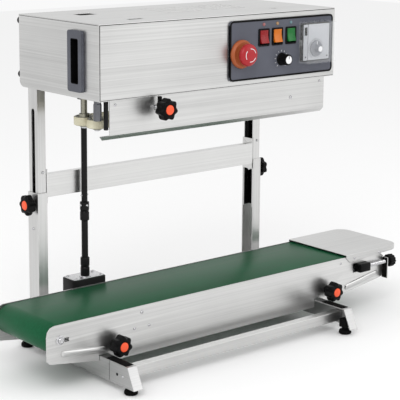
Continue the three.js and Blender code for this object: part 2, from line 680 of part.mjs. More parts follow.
for (const [name, side] of [['front', -1], ['rear', 1]]) {
  addPart(`${name}_heating_block`, pressBlock(PRESS.heating, side), FINISH.brass);
  addPart(`${name}_cooling_block`, pressBlock(PRESS.cooling, side), FINISH.aluminium);
}

// ---------- Control panel ----------

const PANEL_FACE = -GAP - PANEL.thickness;

function controlPanel() {
  const { left, right, bottom, top, corner } = PANEL;
  const plate = prism('y', roundedRect(bottom, top, left, right, corner), PANEL_FACE, -GAP);
  const through = [PANEL_FACE - 1, 1];
  const half = CONTROLLER.rear / 2 + 0.5;
  const rockers = ROCKER.xs.map((x) =>
    block([x - 11, x + 11], through, [ROCKER.z - 13.5, ROCKER.z + 13.5]));
  return cut(plate,
    ...rockers,
    block([CONTROLLER.x - half, CONTROLLER.x + half], through, [CONTROLLER.z - half, CONTROLLER.z + half]),
    rod('y', 11.4, ...through, [ESTOP.x, 0, ESTOP.z]),
    rod('y', 4, ...through, [SPEED_KNOB.x, 0, SPEED_KNOB.z], 16));
}

addPart('control_panel', controlPanel(), FINISH.panel);

const onPanel = PANEL_FACE - GAP;

addPart('stop_button_ring', turned('y', [
  [8.4, -12], [22, -12], [ESTOP.ringRadius, -6.5], [ESTOP.ringRadius, onPanel], [11, onPanel],
  [11, 26], [8.4, 26], [8.4, -12],
], [ESTOP.x, 0, ESTOP.z], 20), FINISH.yellow);

addPart('stop_button', turned('y', [
  [0, -30.5], [11, -30], [17, -28], [ESTOP.capRadius, -25], [ESTOP.capRadius, -20],
  [16, -12 - ESTOP.travel - 1.5], [8, -12 - ESTOP.travel - 1.5], [8, 20], [0, 20],
], [ESTOP.x, 0, ESTOP.z], 20), FINISH.red);

// A rocker turns about X just behind the panel; at rest its lower half stands out.
const ROCKER_PIVOT_Y = 2;
function rockerSolid(x) {
  const half = ROCKER.height / 2;
  const face = outline([[-10, half], [4, half - 4], [4, 4 - half], [-10, -half], [-8, 0]].reverse());
  const paddle = new THREE.ExtrudeGeometry(face, { depth: ROCKER.width, bevelEnabled: false });
  paddle.translate(0, 0, x - ROCKER.width / 2);
  paddle.applyMatrix4(AXES.x);
  paddle.rotateX(THREE.MathUtils.degToRad(ROCKER.tilt));
  paddle.translate(0, ROCKER_PIVOT_Y, ROCKER.z);
  return solid(paddle);
}

[['power_rocker', 'red'], ['heat_rocker', 'amber'], ['drive_rocker', 'green']].forEach(([name, tint], i) =>
  addPart(name, rockerSolid(ROCKER.xs[i]), FINISH[tint]));

function speedKnob() {
  const { x, z, radius, length } = SPEED_KNOB;
  const end = onPanel - length;
  return turned('y', [
    [0, end], [radius - 2.5, end], [radius - 1.5, end + 1], [radius - 1, onPanel - 3],
    [radius + 0.8, onPanel - 3], [radius + 0.8, onPanel], [3, onPanel], [3, 8], [0, 8],
  ], [x, 0, z]);
}

addPart('speed_knob', speedKnob(), FINISH.blackPlastic);

const CONTROLLER_FACE = onPanel - CONTROLLER.proud;

function controllerBody() {
  const { x, z, face, rear, depth } = CONTROLLER;
  const square = (half, y) => block([x - half, x + half], y, [z - half, z + half]);
  return cut(
    join(square(face / 2, [CONTROLLER_FACE, onPanel]), square(rear / 2, [onPanel - 1, depth])),
    rod('y', 3.6, CONTROLLER_FACE - 1, 6, [DIAL.x, 0, DIAL.z], 16));
}

addPart('temperature_controller', controllerBody(), FINISH.palePlastic);

addPart('temperature_dial', turned('y', [
  [0, -24.5], [5.5, -24.5], [6.5, -23.5], [6.5, CONTROLLER_FACE - 4], [DIAL.radius - 1, CONTROLLER_FACE - 4],
  [DIAL.radius, CONTROLLER_FACE - 3], [DIAL.radius, CONTROLLER_FACE - GAP], [3, CONTROLLER_FACE - GAP],
  [3, 4], [0, 4],
], [DIAL.x, 0, DIAL.z], 20), FINISH.greyPlastic);

// The clear cover is a thin box, open at the back, hinged along its right edge.
function clearCover() {
  const { left, right, bottom, top, front, wall } = CLEAR_COVER;
  return cut(
    block([left, right], [front, onPanel - 0.2], [bottom, top]),
    block([left + wall, right - wall], [front + wall, 5], [bottom + wall, top - wall]));
}

addPart('controller_cover', clearCover(), FINISH.clear);

// ---------- Origin ----------

const bandSealer = new THREE.Group();
machine.position.set(-ORIGIN.x, -ORIGIN.y, 0);
bandSealer.add(machine);

export default bandSealer;
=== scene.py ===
# %% [markdown]
# # A continuous band sealer
# This notebook dresses the engineering model of a bench-top band sealer: a stainless head on two
# posts, with two sealing bands under it and a green belt conveyor in front. The engineering model
# gives every size and every moving body. Here each piece gets its rounded edges, its small
# details and its finish.

# %% Load the engineering model
import json
from math import cos, pi, radians, sin

import bmesh
import bpy
import numpy as np
from mathutils import Matrix, Vector


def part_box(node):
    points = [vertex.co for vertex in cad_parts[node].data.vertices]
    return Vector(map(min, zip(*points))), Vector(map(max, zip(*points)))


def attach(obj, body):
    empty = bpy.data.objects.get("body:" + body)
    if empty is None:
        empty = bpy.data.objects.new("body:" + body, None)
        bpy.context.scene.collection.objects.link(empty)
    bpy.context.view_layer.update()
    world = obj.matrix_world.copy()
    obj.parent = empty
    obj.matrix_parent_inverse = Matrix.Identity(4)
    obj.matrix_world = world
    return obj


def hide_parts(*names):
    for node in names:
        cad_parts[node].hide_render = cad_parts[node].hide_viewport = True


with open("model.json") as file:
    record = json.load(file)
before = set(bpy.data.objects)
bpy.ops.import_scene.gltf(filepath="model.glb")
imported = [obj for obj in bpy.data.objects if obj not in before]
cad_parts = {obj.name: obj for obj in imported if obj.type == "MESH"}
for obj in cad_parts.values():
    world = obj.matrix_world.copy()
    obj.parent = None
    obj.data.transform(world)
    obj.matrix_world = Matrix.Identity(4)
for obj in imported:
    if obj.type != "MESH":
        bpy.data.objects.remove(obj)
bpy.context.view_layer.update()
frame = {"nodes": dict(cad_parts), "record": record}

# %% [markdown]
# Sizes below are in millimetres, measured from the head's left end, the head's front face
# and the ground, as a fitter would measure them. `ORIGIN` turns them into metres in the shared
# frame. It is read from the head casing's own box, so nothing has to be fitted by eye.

head_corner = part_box("head_shell")[0]
ORIGIN = np.array([head_corner.x, head_corner.y, 0.0])
RECORD = frame["record"]
BODY = {node: body for body, nodes in RECORD["behaviour"]["bodies"].items() for node in nodes}


def span(node):
    """The lowest and highest corners of an engineering part, in millimetres."""
    low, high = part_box(node)
    return (np.array(low) - ORIGIN) * 1000, (np.array(high) - ORIGIN) * 1000


def centre_of(node, axis):
    """The middle of an engineering part's box, with 0 along one axis, in millimetres."""
    middle = sum(span(node)) / 2
    middle["xyz".index(axis)] = 0
    return middle


print("head casing, mm:", *(corner.round(1) for corner in span("head_shell")))

# %% [markdown]
# ## Camera
# The machine is seen from its front left, a little above the belt, through a long lens that keeps
# its posts nearly upright. A small lens shift lets it look down less than it otherwise would.
# The camera is turned by three directions worked out from its yaw, its pitch and a slight roll,
# because three directions are easier to check than three angles.

# %% Camera
yaw, pitch, roll = 0.6897, 0.1911, 0.0054
forward = Vector((cos(pitch) * sin(yaw), cos(pitch) * cos(yaw), -sin(pitch)))
level = Vector((cos(yaw), -sin(yaw), 0))
upright = level.cross(forward)
across = level * cos(roll) + upright * sin(roll)
lens = bpy.data.cameras.new("camera")
lens.lens = 124.4
lens.shift_x, lens.shift_y = 0.048, -0.12
camera = bpy.data.objects.new("camera", lens)
bpy.context.scene.collection.objects.link(camera)
turn = Matrix((across, across.cross(forward), -forward)).transposed()
camera.matrix_world = Matrix.Translation((-1.6477, -1.9010, 0.8384)) @ turn.to_4x4()
bpy.context.scene.camera = camera
print("camera looks along", [round(v, 3) for v in forward])

# %% [markdown]
# ## Meshes from numpy
# A new piece is a grid of points worked out as one array, then joined by four-sided faces. Poles
# and seams are closed by merging the points that fall together, and the faces are then turned
# outwards. A piece stands at the origin with its place in its mesh, takes the place of an
# engineering part or rides with one, and takes the one finish that it is given.

# %% Make a piece
def piece(name, shells, finish, rides_with, replaces=(), crease=32):
    """One object from (points, faces) pairs, its points in millimetres."""
    points = np.concatenate([shell[0].reshape(-1, 3) for shell in shells])
    starts = np.cumsum([0] + [shell[0].reshape(-1, 3).shape[0] for shell in shells])
    faces = np.concatenate([shell[1] + start for shell, start in zip(shells, starts)])
    mesh = bpy.data.meshes.new(name)
    mesh.from_pydata(points / 1000 + ORIGIN, [], faces.tolist())
    work = bmesh.new()
    work.from_mesh(mesh)
    bmesh.ops.remove_doubles(work, verts=work.verts, dist=2e-6)
    bmesh.ops.recalc_face_normals(work, faces=work.faces)
    work.to_mesh(mesh)
    work.free()
    mesh.shade_smooth()
    mesh.set_sharp_from_angle(angle=radians(crease))
    thing = bpy.data.objects.new(name, mesh)
    bpy.context.scene.collection.objects.link(thing)
    mesh.materials.append(finish)
    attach(thing, BODY[rides_with])
    if replaces:
        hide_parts(*replaces)
    return thing


def loft(rings, ends="capped"):
    """Quads between rings of equally many points. Capped ends shrink to the ring's middle."""
    columns = rings.shape[1]
    if ends == "capped":
        first = rings[:1].mean(axis=1, keepdims=True).repeat(columns, axis=1)
        last = rings[-1:].mean(axis=1, keepdims=True).repeat(columns, axis=1)
        rings = np.concatenate([first, rings, last])
    index = np.arange(rings.shape[0] * columns).reshape(-1, columns)
    if ends == "joined":
        index = np.vstack([index, index[:1]])
    a, b = index[:-1], index[1:]
    quads = np.stack([a, np.roll(a, -1, 1), np.roll(b, -1, 1), b], axis=-1).reshape(-1, 4)
    return rings.reshape(-1, 3), quads


AXES = {"x": (1, 2, 0), "y": (2, 0, 1), "z": (0, 1, 2)}


def stand(points, axis, centre):
    """Turns (across, up, along) into (x, y, z), with `along` on the named axis."""
    placed = np.empty_like(points)
    placed[..., list(AXES[axis])] = points
    return placed + np.array(centre, float)


# %% [markdown]
# Three shapes do most of the work. A turned piece is a profile carried round an axis. A moulded
# block is a rounded outline carried along an axis, drawn in by a quarter circle at both ends so
# that its edges are soft. A rod follows a path with a round section.

# %% Turned pieces, moulded blocks and rods
def eased(profile, radius=0.5, steps=4):
    """Rounds each inner corner: a point slides from one side to the other on a parabola."""
    p = np.array(profile, float)
    before, corner, after = p[:-2], p[1:-1], p[2:]
    reach = lambda side: np.minimum(radius / np.maximum(
        np.linalg.norm(side - corner, axis=1, keepdims=True), 1e-6), 0.5)
    start = corner + (before - corner) * reach(before)
    end = corner + (after - corner) * reach(after)
    t = np.linspace(0, 1, steps)[None, :, None]
    curve = (1 - t) ** 2 * start[:, None] + 2 * t * (1 - t) * corner[:, None] + t ** 2 * end[:, None]
    return np.concatenate([p[:1], curve.reshape(-1, p.shape[1]), p[-1:]])


def turned(profile, axis, centre, sides=64, ease=0.5, ends="open", lobes=0, depth=0.11):
    """radius * (1 + lobing * depth * cos(lobes * angle)) at each height of the profile.
    A profile point is (radius, height) or (radius, height, lobing)."""
    p = eased(profile, ease) if ease else np.array(profile, float)
    angle = np.linspace(0, 2 * pi, sides, endpoint=False)
    lobing = p[:, 2:3] if p.shape[1] > 2 else np.zeros((len(p), 1))
    radius = p[:, :1] * (1 + lobing * depth * np.cos(lobes * angle))
    rings = np.stack([radius * np.cos(angle), radius * np.sin(angle),
                      np.broadcast_to(p[:, 1:2], radius.shape)], axis=-1)
    return loft(stand(rings, axis, centre), ends)


def rounded_outline(width, height, radius, steps=6):
    """A rectangle about the origin whose corners are quarter circles."""
    corner = np.arange(4)[:, None] * pi / 2
    angle = corner + np.linspace(0, pi / 2, steps)[None]
    sign_x = np.sign(np.cos(corner + pi / 4))
    sign_y = np.sign(np.sin(corner + pi / 4))
    x = sign_x * (width / 2 - radius) + radius * np.cos(angle)
    y = sign_y * (height / 2 - radius) + radius * np.sin(angle)
    return np.stack([x.ravel(), y.ravel()], axis=-1)


def block(low, high, axis="z", corner=2.0, edge=0.6, steps=4):
    """A moulded block between two corners: the outline is drawn in by edge * (1 - sin) while
    it moves along by edge * (1 - cos) at either end."""
    low, high = np.array(low, float), np.array(high, float)
    size, middle = (high - low)[list(AXES[axis])], (high + low) / 2
    edge = min(edge, size.min() / 2.01)
    corner = max(corner, edge + 0.05)
    turn_in = np.linspace(0, pi / 2, steps)
    inset = np.concatenate([edge * (1 - np.sin(turn_in)), edge * (1 - np.sin(turn_in[::-1]))])
    along = np.concatenate([edge * (1 - np.cos(turn_in)), size[2] - edge * (1 - np.cos(turn_in[::-1]))])
    rings = np.stack([rounded_outline(size[0] - 2 * i, size[1] - 2 * i, corner - i) for i in inset])
    flat = np.broadcast_to((along - size[2] / 2)[:, None, None], rings.shape[:2] + (1,))
    return loft(stand(np.concatenate([rings, flat], axis=-1), axis, middle))


def bent_rod(path, radius, sides=16, up=(0, 0, 1)):
    """A round section carried along a path, square to the path's direction at each point."""
    p = np.array(path, float)
    ahead = np.gradient(p, axis=0)
    ahead /= np.linalg.norm(ahead, axis=1, keepdims=True)
    side = np.cross(ahead, up)
    side /= np.linalg.norm(side, axis=1, keepdims=True)
    top = np.cross(side, ahead)
    angle = np.linspace(0, 2 * pi, sides, endpoint=False)[None, :, None]
    rings = p[:, None] + radius * (np.cos(angle) * side[:, None] + np.sin(angle) * top[:, None])
    return loft(rings)


# %% [markdown]
# The folded sheet parts already have the right shape in the engineering model, but its edges are
# perfectly sharp, and a real folded edge catches a line of light. Each is copied, its triangles
# are merged into flat faces, and a Bevel modifier rounds the edges that turn by more than 30
# degrees.

# %% Sheet parts with softened edges
def softened(node, finish, width, segments, crease=32):
    """A copy of an engineering part with every sharp edge rounded by `width` millimetres."""
    mesh = frame["nodes"][node].data.copy()
    mesh.name = f"{node}_sheet"
    work = bmesh.new()
    work.from_mesh(mesh)
    bmesh.ops.remove_doubles(work, verts=work.verts, dist=2e-6)
    bmesh.ops.dissolve_limit(work, angle_limit=radians(1), verts=work.verts, edges=work.edges)
    work.to_mesh(mesh)
    work.free()
    mesh.materials.clear()
    mesh.materials.append(finish)
    mesh.shade_smooth()
    mesh.set_sharp_from_angle(angle=radians(crease))
    thing = bpy.data.objects.new(f"{node}_sheet", mesh)
    bpy.context.scene.collection.objects.link(thing)
    bevel = thing.modifiers.new("Rounded edges", "BEVEL")
    bevel.width = width / 1000
    bevel.segments = segments
    bevel.limit_method = "ANGLE"
    bevel.angle_limit = radians(crease)
    bevel.harden_normals = True
    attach(thing, BODY[node])
    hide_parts(node)
    return thing


# %% [markdown]
# ## Shader maths
# A finish is built from a few kinds of node. `Wire` wraps the socket that carries a value, so
# that `1 - grain * 0.2` adds its own Math nodes, and `Finish.node` adds any other node: its
# settings first, then the values or wires of its sockets.

# %% Wires and finishes
class Wire:
    """The output of a shader node, with arithmetic."""

    def __init__(self, finish, socket):
        self.finish, self.socket = finish, socket

    def __add__(self, other): return self.finish.maths("ADD", self, other)
    def __radd__(self, other): return self.finish.maths("ADD", other, self)
    def __sub__(self, other): return self.finish.maths("SUBTRACT", self, other)
    def __rsub__(self, other): return self.finish.maths("SUBTRACT", other, self)
    def __mul__(self, other): return self.finish.maths("MULTIPLY", self, other)
    def __rmul__(self, other): return self.finish.maths("MULTIPLY", other, self)
    def __gt__(self, other): return self.finish.maths("GREATER_THAN", self, other)


class Finish:
    """A material whose nodes are added by name, around one Principled shader."""

    def __init__(self, name, roughness=0.5, **fixed):
        self.material = bpy.data.materials.new(name)
        self.material.use_nodes = True
        self.tree = self.material.node_tree
        self.shader = self.tree.nodes["Principled BSDF"]
        self.shader.inputs["Roughness"].default_value = roughness
        for socket, value in fixed.items():
            self.shader.inputs[socket.replace("_", " ")].default_value = value
        self.place = self.node("ShaderNodeTexCoord", out="Object")

    def node(self, kind, settings={}, values={}, out=0):
        made = self.tree.nodes.new(kind)
        for key, setting in settings.items():
            if key == "stops":
                ramp = made.color_ramp.elements
                while len(ramp) < len(setting):
                    ramp.new(0.5)
                for stop, (position, colour) in zip(ramp, setting):
                    stop.position, stop.color = position, (*colour, 1)
            else:
                setattr(made, key, setting)
        for key, value in values.items():
            if isinstance(value, Wire):
                self.tree.links.new(value.socket, made.inputs[key])
            else:
                made.inputs[key].default_value = value
        return Wire(self, made.outputs[out])

    def maths(self, operation, a, b):
        return self.node("ShaderNodeMath", {"operation": operation}, {0: a, 1: b})

    def noise(self, stretch=(1, 1, 1), scale=10.0, detail=4.0, roughness=0.5):
        """Noise whose cells are stretched along the axes that `stretch` makes small."""
        spot = self.node("ShaderNodeMapping", {}, {"Vector": self.place, "Scale": stretch})
        return self.node("ShaderNodeTexNoise", {},
                         {"Vector": spot, "Scale": scale, "Detail": detail, "Roughness": roughness})

    def mix(self, amount, first, second):
        """A colour between two, by `amount`."""
        return self.node("ShaderNodeMix", {"data_type": "RGBA"}, {0: amount, 6: first, 7: second}, out=2)

    def ramp(self, amount, *stops):
        return self.node("ShaderNodeValToRGB", {"stops": stops}, {"Fac": amount})

    def bump(self, height, distance=0.0002, strength=0.4):
        made = self.node("ShaderNodeBump", {}, {"Height": height, "Distance": distance,
                                                "Strength": strength})
        self.feed("Normal", made)

    def feed(self, socket, wire):
        self.tree.links.new(wire.socket, self.shader.inputs[socket])


def linear(red, green, blue):
    """A screen colour of 0 to 255 as the light values that a shader takes."""
    return tuple((np.array([red, green, blue]) / 255) ** 2.2) + (1.0,)


# %% [markdown]
# ## Finishes
# Brushed stainless steel has fine parallel scratches left by the belt that brushed it. They are
# noise stretched a hundred times along one axis, and they change the colour a little, the
# roughness more and the surface height by a few microns. A large and soft noise is the cloudy
# handling that every such panel shows, and where edges are pointed the steel is painted brighter,
# a painted highlight along the folded edges.

# %% Brushed steel
ACROSS = {"x": "y", "y": "x", "z": "x"}


def stretched(along, size):
    """Noise cells `size` to the metre, drawn out to half a metre along one axis."""
    return tuple(2.0 if axis == along else float(size) for axis in "xyz")


def brushed(name, along, shade=(205, 205, 204), roughness=0.3, grain=1.0):
    """Steel brushed along one axis: fine scratches over coarser bands, under soft clouds. A face
    that looks along that axis is brushed across it instead."""
    steel = Finish(name, roughness, Metallic=1.0)
    normal = steel.node("ShaderNodeNewGeometry", out="True Normal")
    facing = steel.node("ShaderNodeSeparateXYZ", {}, {0: normal}, out=along.upper())
    end_on = steel.maths("ABSOLUTE", facing, 0.0) > 0.7
    streaks = 0
    for grain_size, share in ((520, 0.74), (150, 0.26)):
        lengthways = steel.noise(stretched(along, grain_size), 1.0, 5.0, 0.62)
        crossways = steel.noise(stretched(ACROSS[along], grain_size), 1.0, 5.0, 0.62)
        streaks = streaks + (lengthways * (1 - end_on) + crossways * end_on) * share
    clouds = steel.noise((1, 1, 1), 7.0, 3.0)
    light = linear(*shade)
    dark = tuple(0.72 * v for v in light[:3])
    base = steel.ramp(streaks * 0.8 + clouds * 0.2, (0.32, dark), (0.60, light[:3]))
    # Painted highlight: pointed edges are mixed towards near-white, as if they caught the light.
    edges = steel.node("ShaderNodeNewGeometry", out="Pointiness")
    edge_highlight = steel.node("ShaderNodeMapRange", {}, {"Value": edges, "From Min": 0.52, "From Max": 0.6})
    highlighted = steel.mix(edge_highlight * 0.35, base, (0.86, 0.86, 0.85, 1.0))
    steel.feed("Base Color", highlighted)
    steel.feed("Roughness", roughness - 0.1 + streaks * (0.16 * grain) + clouds * 0.09)
    steel.bump(streaks, 0.00006 * grain, 0.35)
    return steel.material


steel_along = brushed("brushed_steel_along", "x")
steel_upright = brushed("brushed_steel_upright", "z")
# The arms' steel is darker: painted shade for the dark surroundings that they reflect.
shaded_steel_deep = brushed("brushed_steel_deep", "y", (170, 170, 170), 0.34)
print("brushed steel grains:", sorted(ACROSS))

# %% [markdown]
# Moulded plastic is nearly one colour. What makes it look moulded is a fine leathery texture in
# the height, a slightly uneven gloss and a slight drift of the colour. The same recipe serves
# every plastic, painted and rubber piece, with its own colour, texture size and gloss.

# %% Moulded and painted pieces
def moulded(name, shade, roughness=0.5, texture=900.0, depth=0.00008, drift=0.12, **fixed):
    """One colour with a fine texture, cloudy gloss and slight colour drift."""
    plastic = Finish(name, roughness, **fixed)
    pebble = plastic.noise(scale=texture, detail=2.0)
    clouds = plastic.noise(scale=14.0, detail=5.0, roughness=0.6)
    light = linear(*shade)
    dark = tuple((1 - 2 * drift) * v for v in light[:3]) + (1.0,)
    bright = tuple(min(1.0, v * (1 + drift) + 0.004) for v in light[:3]) + (1.0,)
    plastic.feed("Base Color", plastic.ramp(clouds, (0.3, dark[:3]), (0.7, bright[:3])))
    plastic.feed("Roughness", roughness - 0.08 + clouds * 0.16 + pebble * 0.04)
    plastic.bump(pebble, depth, 0.4)
    return plastic.material


black_moulding = moulded("black_moulding", (12, 12, 13), 0.38, Specular_IOR_Level=0.08)
black_oxide = moulded("black_oxide", (9, 9, 10), 0.36, texture=500.0, Specular_IOR_Level=0.2)
foot_rubber = moulded("foot_rubber", (9, 9, 9), 0.8, texture=1400.0, Specular_IOR_Level=0.1)
roller_rubber = moulded("roller_rubber", (14, 14, 14), 0.7, texture=1000.0, Specular_IOR_Level=0.1)
orange_cap = moulded("orange_cap", (240, 84, 40), 0.38, texture=1200.0, drift=0.05)
grip_grey = moulded("grip_grey", (82, 84, 92), 0.5, Specular_IOR_Level=0.3)
slate_paint = moulded("slate_paint", (84, 86, 95), 0.5, texture=1600.0, drift=0.06, Specular_IOR_Level=0.2)
pale_face = moulded("pale_face", (168, 170, 175), 0.35, texture=1200.0, drift=0.04)
dial_grey = moulded("dial_grey", (118, 120, 126), 0.4, drift=0.05)
white_cap = moulded("white_cap", (226, 226, 228), 0.35, drift=0.03)
stop_red = moulded("stop_red", (160, 28, 36), 0.34, texture=1500.0, drift=0.05, Specular_IOR_Level=0.35)
ring_orange = moulded("ring_orange", (160, 84, 48), 0.4, drift=0.1, Specular_IOR_Level=0.3)
rocker_red = moulded("rocker_red", (132, 14, 20), 0.25, drift=0.1, Specular_IOR_Level=0.3)
rocker_amber = moulded("rocker_amber", (196, 104, 18), 0.25, drift=0.1, Specular_IOR_Level=0.3)
rocker_green = moulded("rocker_green", (6, 98, 40), 0.25, drift=0.1, Specular_IOR_Level=0.3)
motor_paint = moulded("motor_paint", (110, 116, 122), 0.45, texture=400.0)
seam_shadow = moulded("seam_shadow", (8, 8, 9), 0.6, Specular_IOR_Level=0.1)

# %% [markdown]
# The belt is green polyurethane on a cloth carcass. Its face is smooth and slightly glossy, with
# a very fine weave showing through and long scuffs along the way it travels, so the gloss breaks
# into soft streaks.

# %% Belt, sealing band and bare metals
def green_belt():
    belt = Finish("green_belt", 0.4, Specular_IOR_Level=0.12)
    scuffs = belt.noise((4, 260, 260), 1.0, 5.0, 0.6)
    clouds = belt.noise(scale=6.0, detail=4.0)
    weave = belt.noise(scale=1500.0, detail=1.0)
    deep, fresh = linear(10, 64, 38), linear(26, 88, 58)
    belt.feed("Base Color", belt.ramp(scuffs * 0.5 + clouds * 0.5, (0.3, deep[:3]), (0.7, fresh[:3])))
    belt.feed("Roughness", 0.27 + scuffs * 0.14 + clouds * 0.08)
    belt.bump(weave + scuffs, 0.00005, 0.3)
    return belt.material


def glass_band():
    """Woven glass coated with fluoropolymer: two crossed sets of fine ribs."""
    band = Finish("glass_band", 0.5)
    along, upright = [band.node("ShaderNodeTexWave", {"bands_direction": way},
                                {"Vector": band.place, "Scale": 300.0}) for way in "XZ"]
    stain = band.noise(scale=40.0, detail=5.0)
    tan, cream = linear(176, 168, 140), linear(206, 202, 178)
    band.feed("Base Color", band.ramp(stain, (0.3, tan[:3]), (0.7, cream[:3])))
    band.feed("Roughness", 0.42 + stain * 0.2)
    band.bump(along * upright, 0.0001, 0.4)
    return band.material


def bare_metal(name, shade, roughness, cells=60.0, depth=0.00006):
    """Metal whose crystals or casting skin show as soft patches."""
    metal = Finish(name, roughness, Metallic=1.0)
    patches = metal.node("ShaderNodeTexVoronoi", {}, {"Vector": metal.place, "Scale": cells})
    fine = metal.noise(scale=700.0, detail=3.0)
    light = linear(*shade)
    dark = tuple(0.78 * v for v in light[:3])
    metal.feed("Base Color", metal.ramp(patches * 0.6 + fine * 0.4, (0.2, dark), (0.8, light[:3])))
    metal.feed("Roughness", roughness - 0.08 + fine * 0.16)
    metal.bump(fine, depth, 0.35)
    return metal.material


belt_green = green_belt()
band_weave = glass_band()
zinc_sheet = bare_metal("zinc_sheet", (170, 172, 176), 0.45, 90.0)
machined_aluminium = bare_metal("machined_aluminium", (200, 202, 204), 0.32, 300.0)
pale_brass = bare_metal("pale_brass", (158, 156, 142), 0.36, 250.0)
dark_aluminium = bare_metal("dark_aluminium", (112, 113, 117), 0.34, 300.0)
screw_steel = bare_metal("screw_steel", (208, 208, 210), 0.25, 400.0)

# %% [markdown]
# The dial cover is clear acrylic. It is mostly see-through, with a few fine scratches that catch
# the light and make it less clear where they are dense.

# %% Clear acrylic and lamp lenses
def acrylic():
    clear = Finish("clear_acrylic", 0.08, Base_Color=(0.93, 0.95, 0.96, 1.0), IOR=1.49)
    scratches = clear.noise((40, 40, 900), 1.0, 3.0)
    clear.feed("Roughness", 0.05 + scratches * 0.08)
    clear.feed("Alpha", 0.04 + scratches * 0.05)
    return clear.material


def lamp_lens(name, shade):
    """A small ribbed lens, faintly lit from behind."""
    lamp = Finish(name, 0.2, Emission_Strength=0.05, Coat_Weight=0.5)
    ribs = lamp.node("ShaderNodeTexWave", {"bands_direction": "Z"}, {"Vector": lamp.place, "Scale": 260.0})
    light = linear(*shade)
    dark = tuple(0.7 * v for v in light[:3]) + (1.0,)
    colour = lamp.mix(ribs, dark, light)
    lamp.feed("Base Color", colour)
    lamp.feed("Emission Color", colour)
    lamp.bump(ribs, 0.0002, 0.5)
    return lamp.material


clear_acrylic = acrylic()

# %% [markdown]
# ## Floor and light
# A pale floor and large soft lights, as in a product studio. The steel shows only what it
# reflects, so most of the light is an even bright surround, with two broad lights from the front
# to draw the folded edges.

# %% Studio
floor_mesh = bpy.data.meshes.new("floor")
FLOOR_HALF, FLOOR_LEVEL = 6.0, -0.0005
corners = [(x * FLOOR_HALF, y * FLOOR_HALF, FLOOR_LEVEL) for x, y in ((-1, -1), (1, -1), (1, 1), (-1, 1))]
floor_mesh.from_pydata(corners, [], [(0, 1, 2, 3)])
floor = bpy.data.objects.new("floor", floor_mesh)
bpy.context.scene.collection.objects.link(floor)
pale = Finish("pale_floor", 0.95, Base_Color=(0.93, 0.93, 0.93, 1.0), Specular_IOR_Level=0.0)
floor_mesh.materials.append(pale.material)

bpy.context.scene.view_settings.view_transform = "Standard"
world = bpy.data.worlds.new("studio")
bpy.context.scene.world = world
world.use_nodes = True
surround = world.node_tree.nodes["Background"].inputs
surround["Color"].default_value = (1.0, 1.0, 1.0, 1.0)
surround["Strength"].default_value = 0.95


def soft_light(name, place, target, size, power):
    """A square area light that faces a point."""
    light = bpy.data.lights.new(name, "AREA")
    light.size, light.energy = size, power
    lamp = bpy.data.objects.new(name, light)
    lamp.location = place
    lamp.rotation_euler = (Vector(target) - Vector(place)).to_track_quat("-Z", "Y").to_euler()
    bpy.context.scene.collection.objects.link(lamp)


soft_light("front_left_light", (-1.8, -1.6, 2.2), (0, 0, 0.3), 1.4, 26.0)
soft_light("front_right_light", (1.6, -2.2, 1.4), (0, 0, 0.3), 1.6, 12.0)

# %% [markdown]
# ## Sheet metal
# The frame arms, rails, posts, crossbar, conveyor side plates, end cover, guard and head casing
# are folded stainless sheet. The brushing follows each part's length, so the posts are brushed
# upright, the arms front to back and the rest along the machine. The arms take a darker copy of
# the steel: painted shade for the dark surroundings that they reflect.

# %% Frame, posts and conveyor sheets
SHEETS = [
    ("left_arm right_arm", shaded_steel_deep, 0.7, 2),
    ("left_lower_post right_lower_post left_upper_post right_upper_post", steel_upright, 0.6, 2),
    ("front_rail rear_rail", steel_along, 1.2, 3),
    ("crossbar front_side_plate rear_side_plate front_guard", steel_along, 0.5, 2),
    ("end_cover", steel_along, 0.8, 3),
    ("head_shell", steel_along, 0.9, 3),
    ("belt_bed head_base_plate", zinc_sheet, 0.4, 2),
    ("front_heating_block rear_heating_block", pale_brass, 0.6, 2),
    ("front_cooling_block rear_cooling_block", machined_aluminium, 0.6, 2),
    ("motor", motor_paint, 1.0, 2),
    ("power_inlet", black_moulding, 0.5, 2),
    ("end_handle", grip_grey, 1.2, 3),
    ("control_panel", slate_paint, 0.4, 2),
]
for nodes, finish, width, segments in SHEETS:
    for node in nodes.split():
        softened(node, finish, width, segments)

# %% [markdown]
# ## Belt and sealing bands
# A flat belt on two equal rollers is a thin section carried round a stadium: two half circles
# joined by straight runs. The same shape, laid flat and much narrower, makes the two sealing
# bands under the head, so one function serves both.

# %% Belts
def loop_belt(ends, level, radius, thick, low, high, axis, steps=40):
    """Section points (r + t, w) carried round two half circles about `ends`. For a belt on
    level rollers the loop stands in (x, z); for the bands it lies in (x, y)."""
    right = np.linspace(-pi / 2, pi / 2, steps)
    angle = np.concatenate([right, right + pi])[:, None]
    centre = np.repeat([max(ends), min(ends)], steps)[:, None]
    section = rounded_outline(thick, high - low, thick * 0.45, 3)
    reach = radius + thick / 2 + section[None, :, 0]
    x = centre + reach * np.cos(angle)
    other = level + reach * np.sin(angle)
    width = np.broadcast_to((low + high) / 2 + section[None, :, 1], x.shape)
    parts = (x, width, other) if axis == "y" else (x, other, width)
    return loft(np.stack(parts, axis=-1), "joined")


belt_low, belt_high = span("conveyor_belt")
belt_outer = (belt_high[2] - belt_low[2]) / 2
piece("green_conveyor_belt",
      [loop_belt((belt_low[0] + belt_outer, belt_high[0] - belt_outer), (belt_low[2] + belt_high[2]) / 2,
                 belt_outer - 1.5, 1.5, belt_low[1], belt_high[1], "y", 72)],
      belt_green, "conveyor_belt", ["conveyor_belt"], crease=40)
for side in ("front", "rear"):
    low, high = span(f"{side}_sealing_band")
    outer = (high[1] - low[1]) / 2
    piece(f"{side}_glass_band",
          [loop_belt((low[0] + outer, high[0] - outer), (low[1] + high[1]) / 2,
                     outer - 1, 1, low[2], high[2], "z", 40)],
          band_weave, f"{side}_sealing_band", [f"{side}_sealing_band"], crease=40)
print("belt outer radius, mm:", round(float(belt_outer), 2))

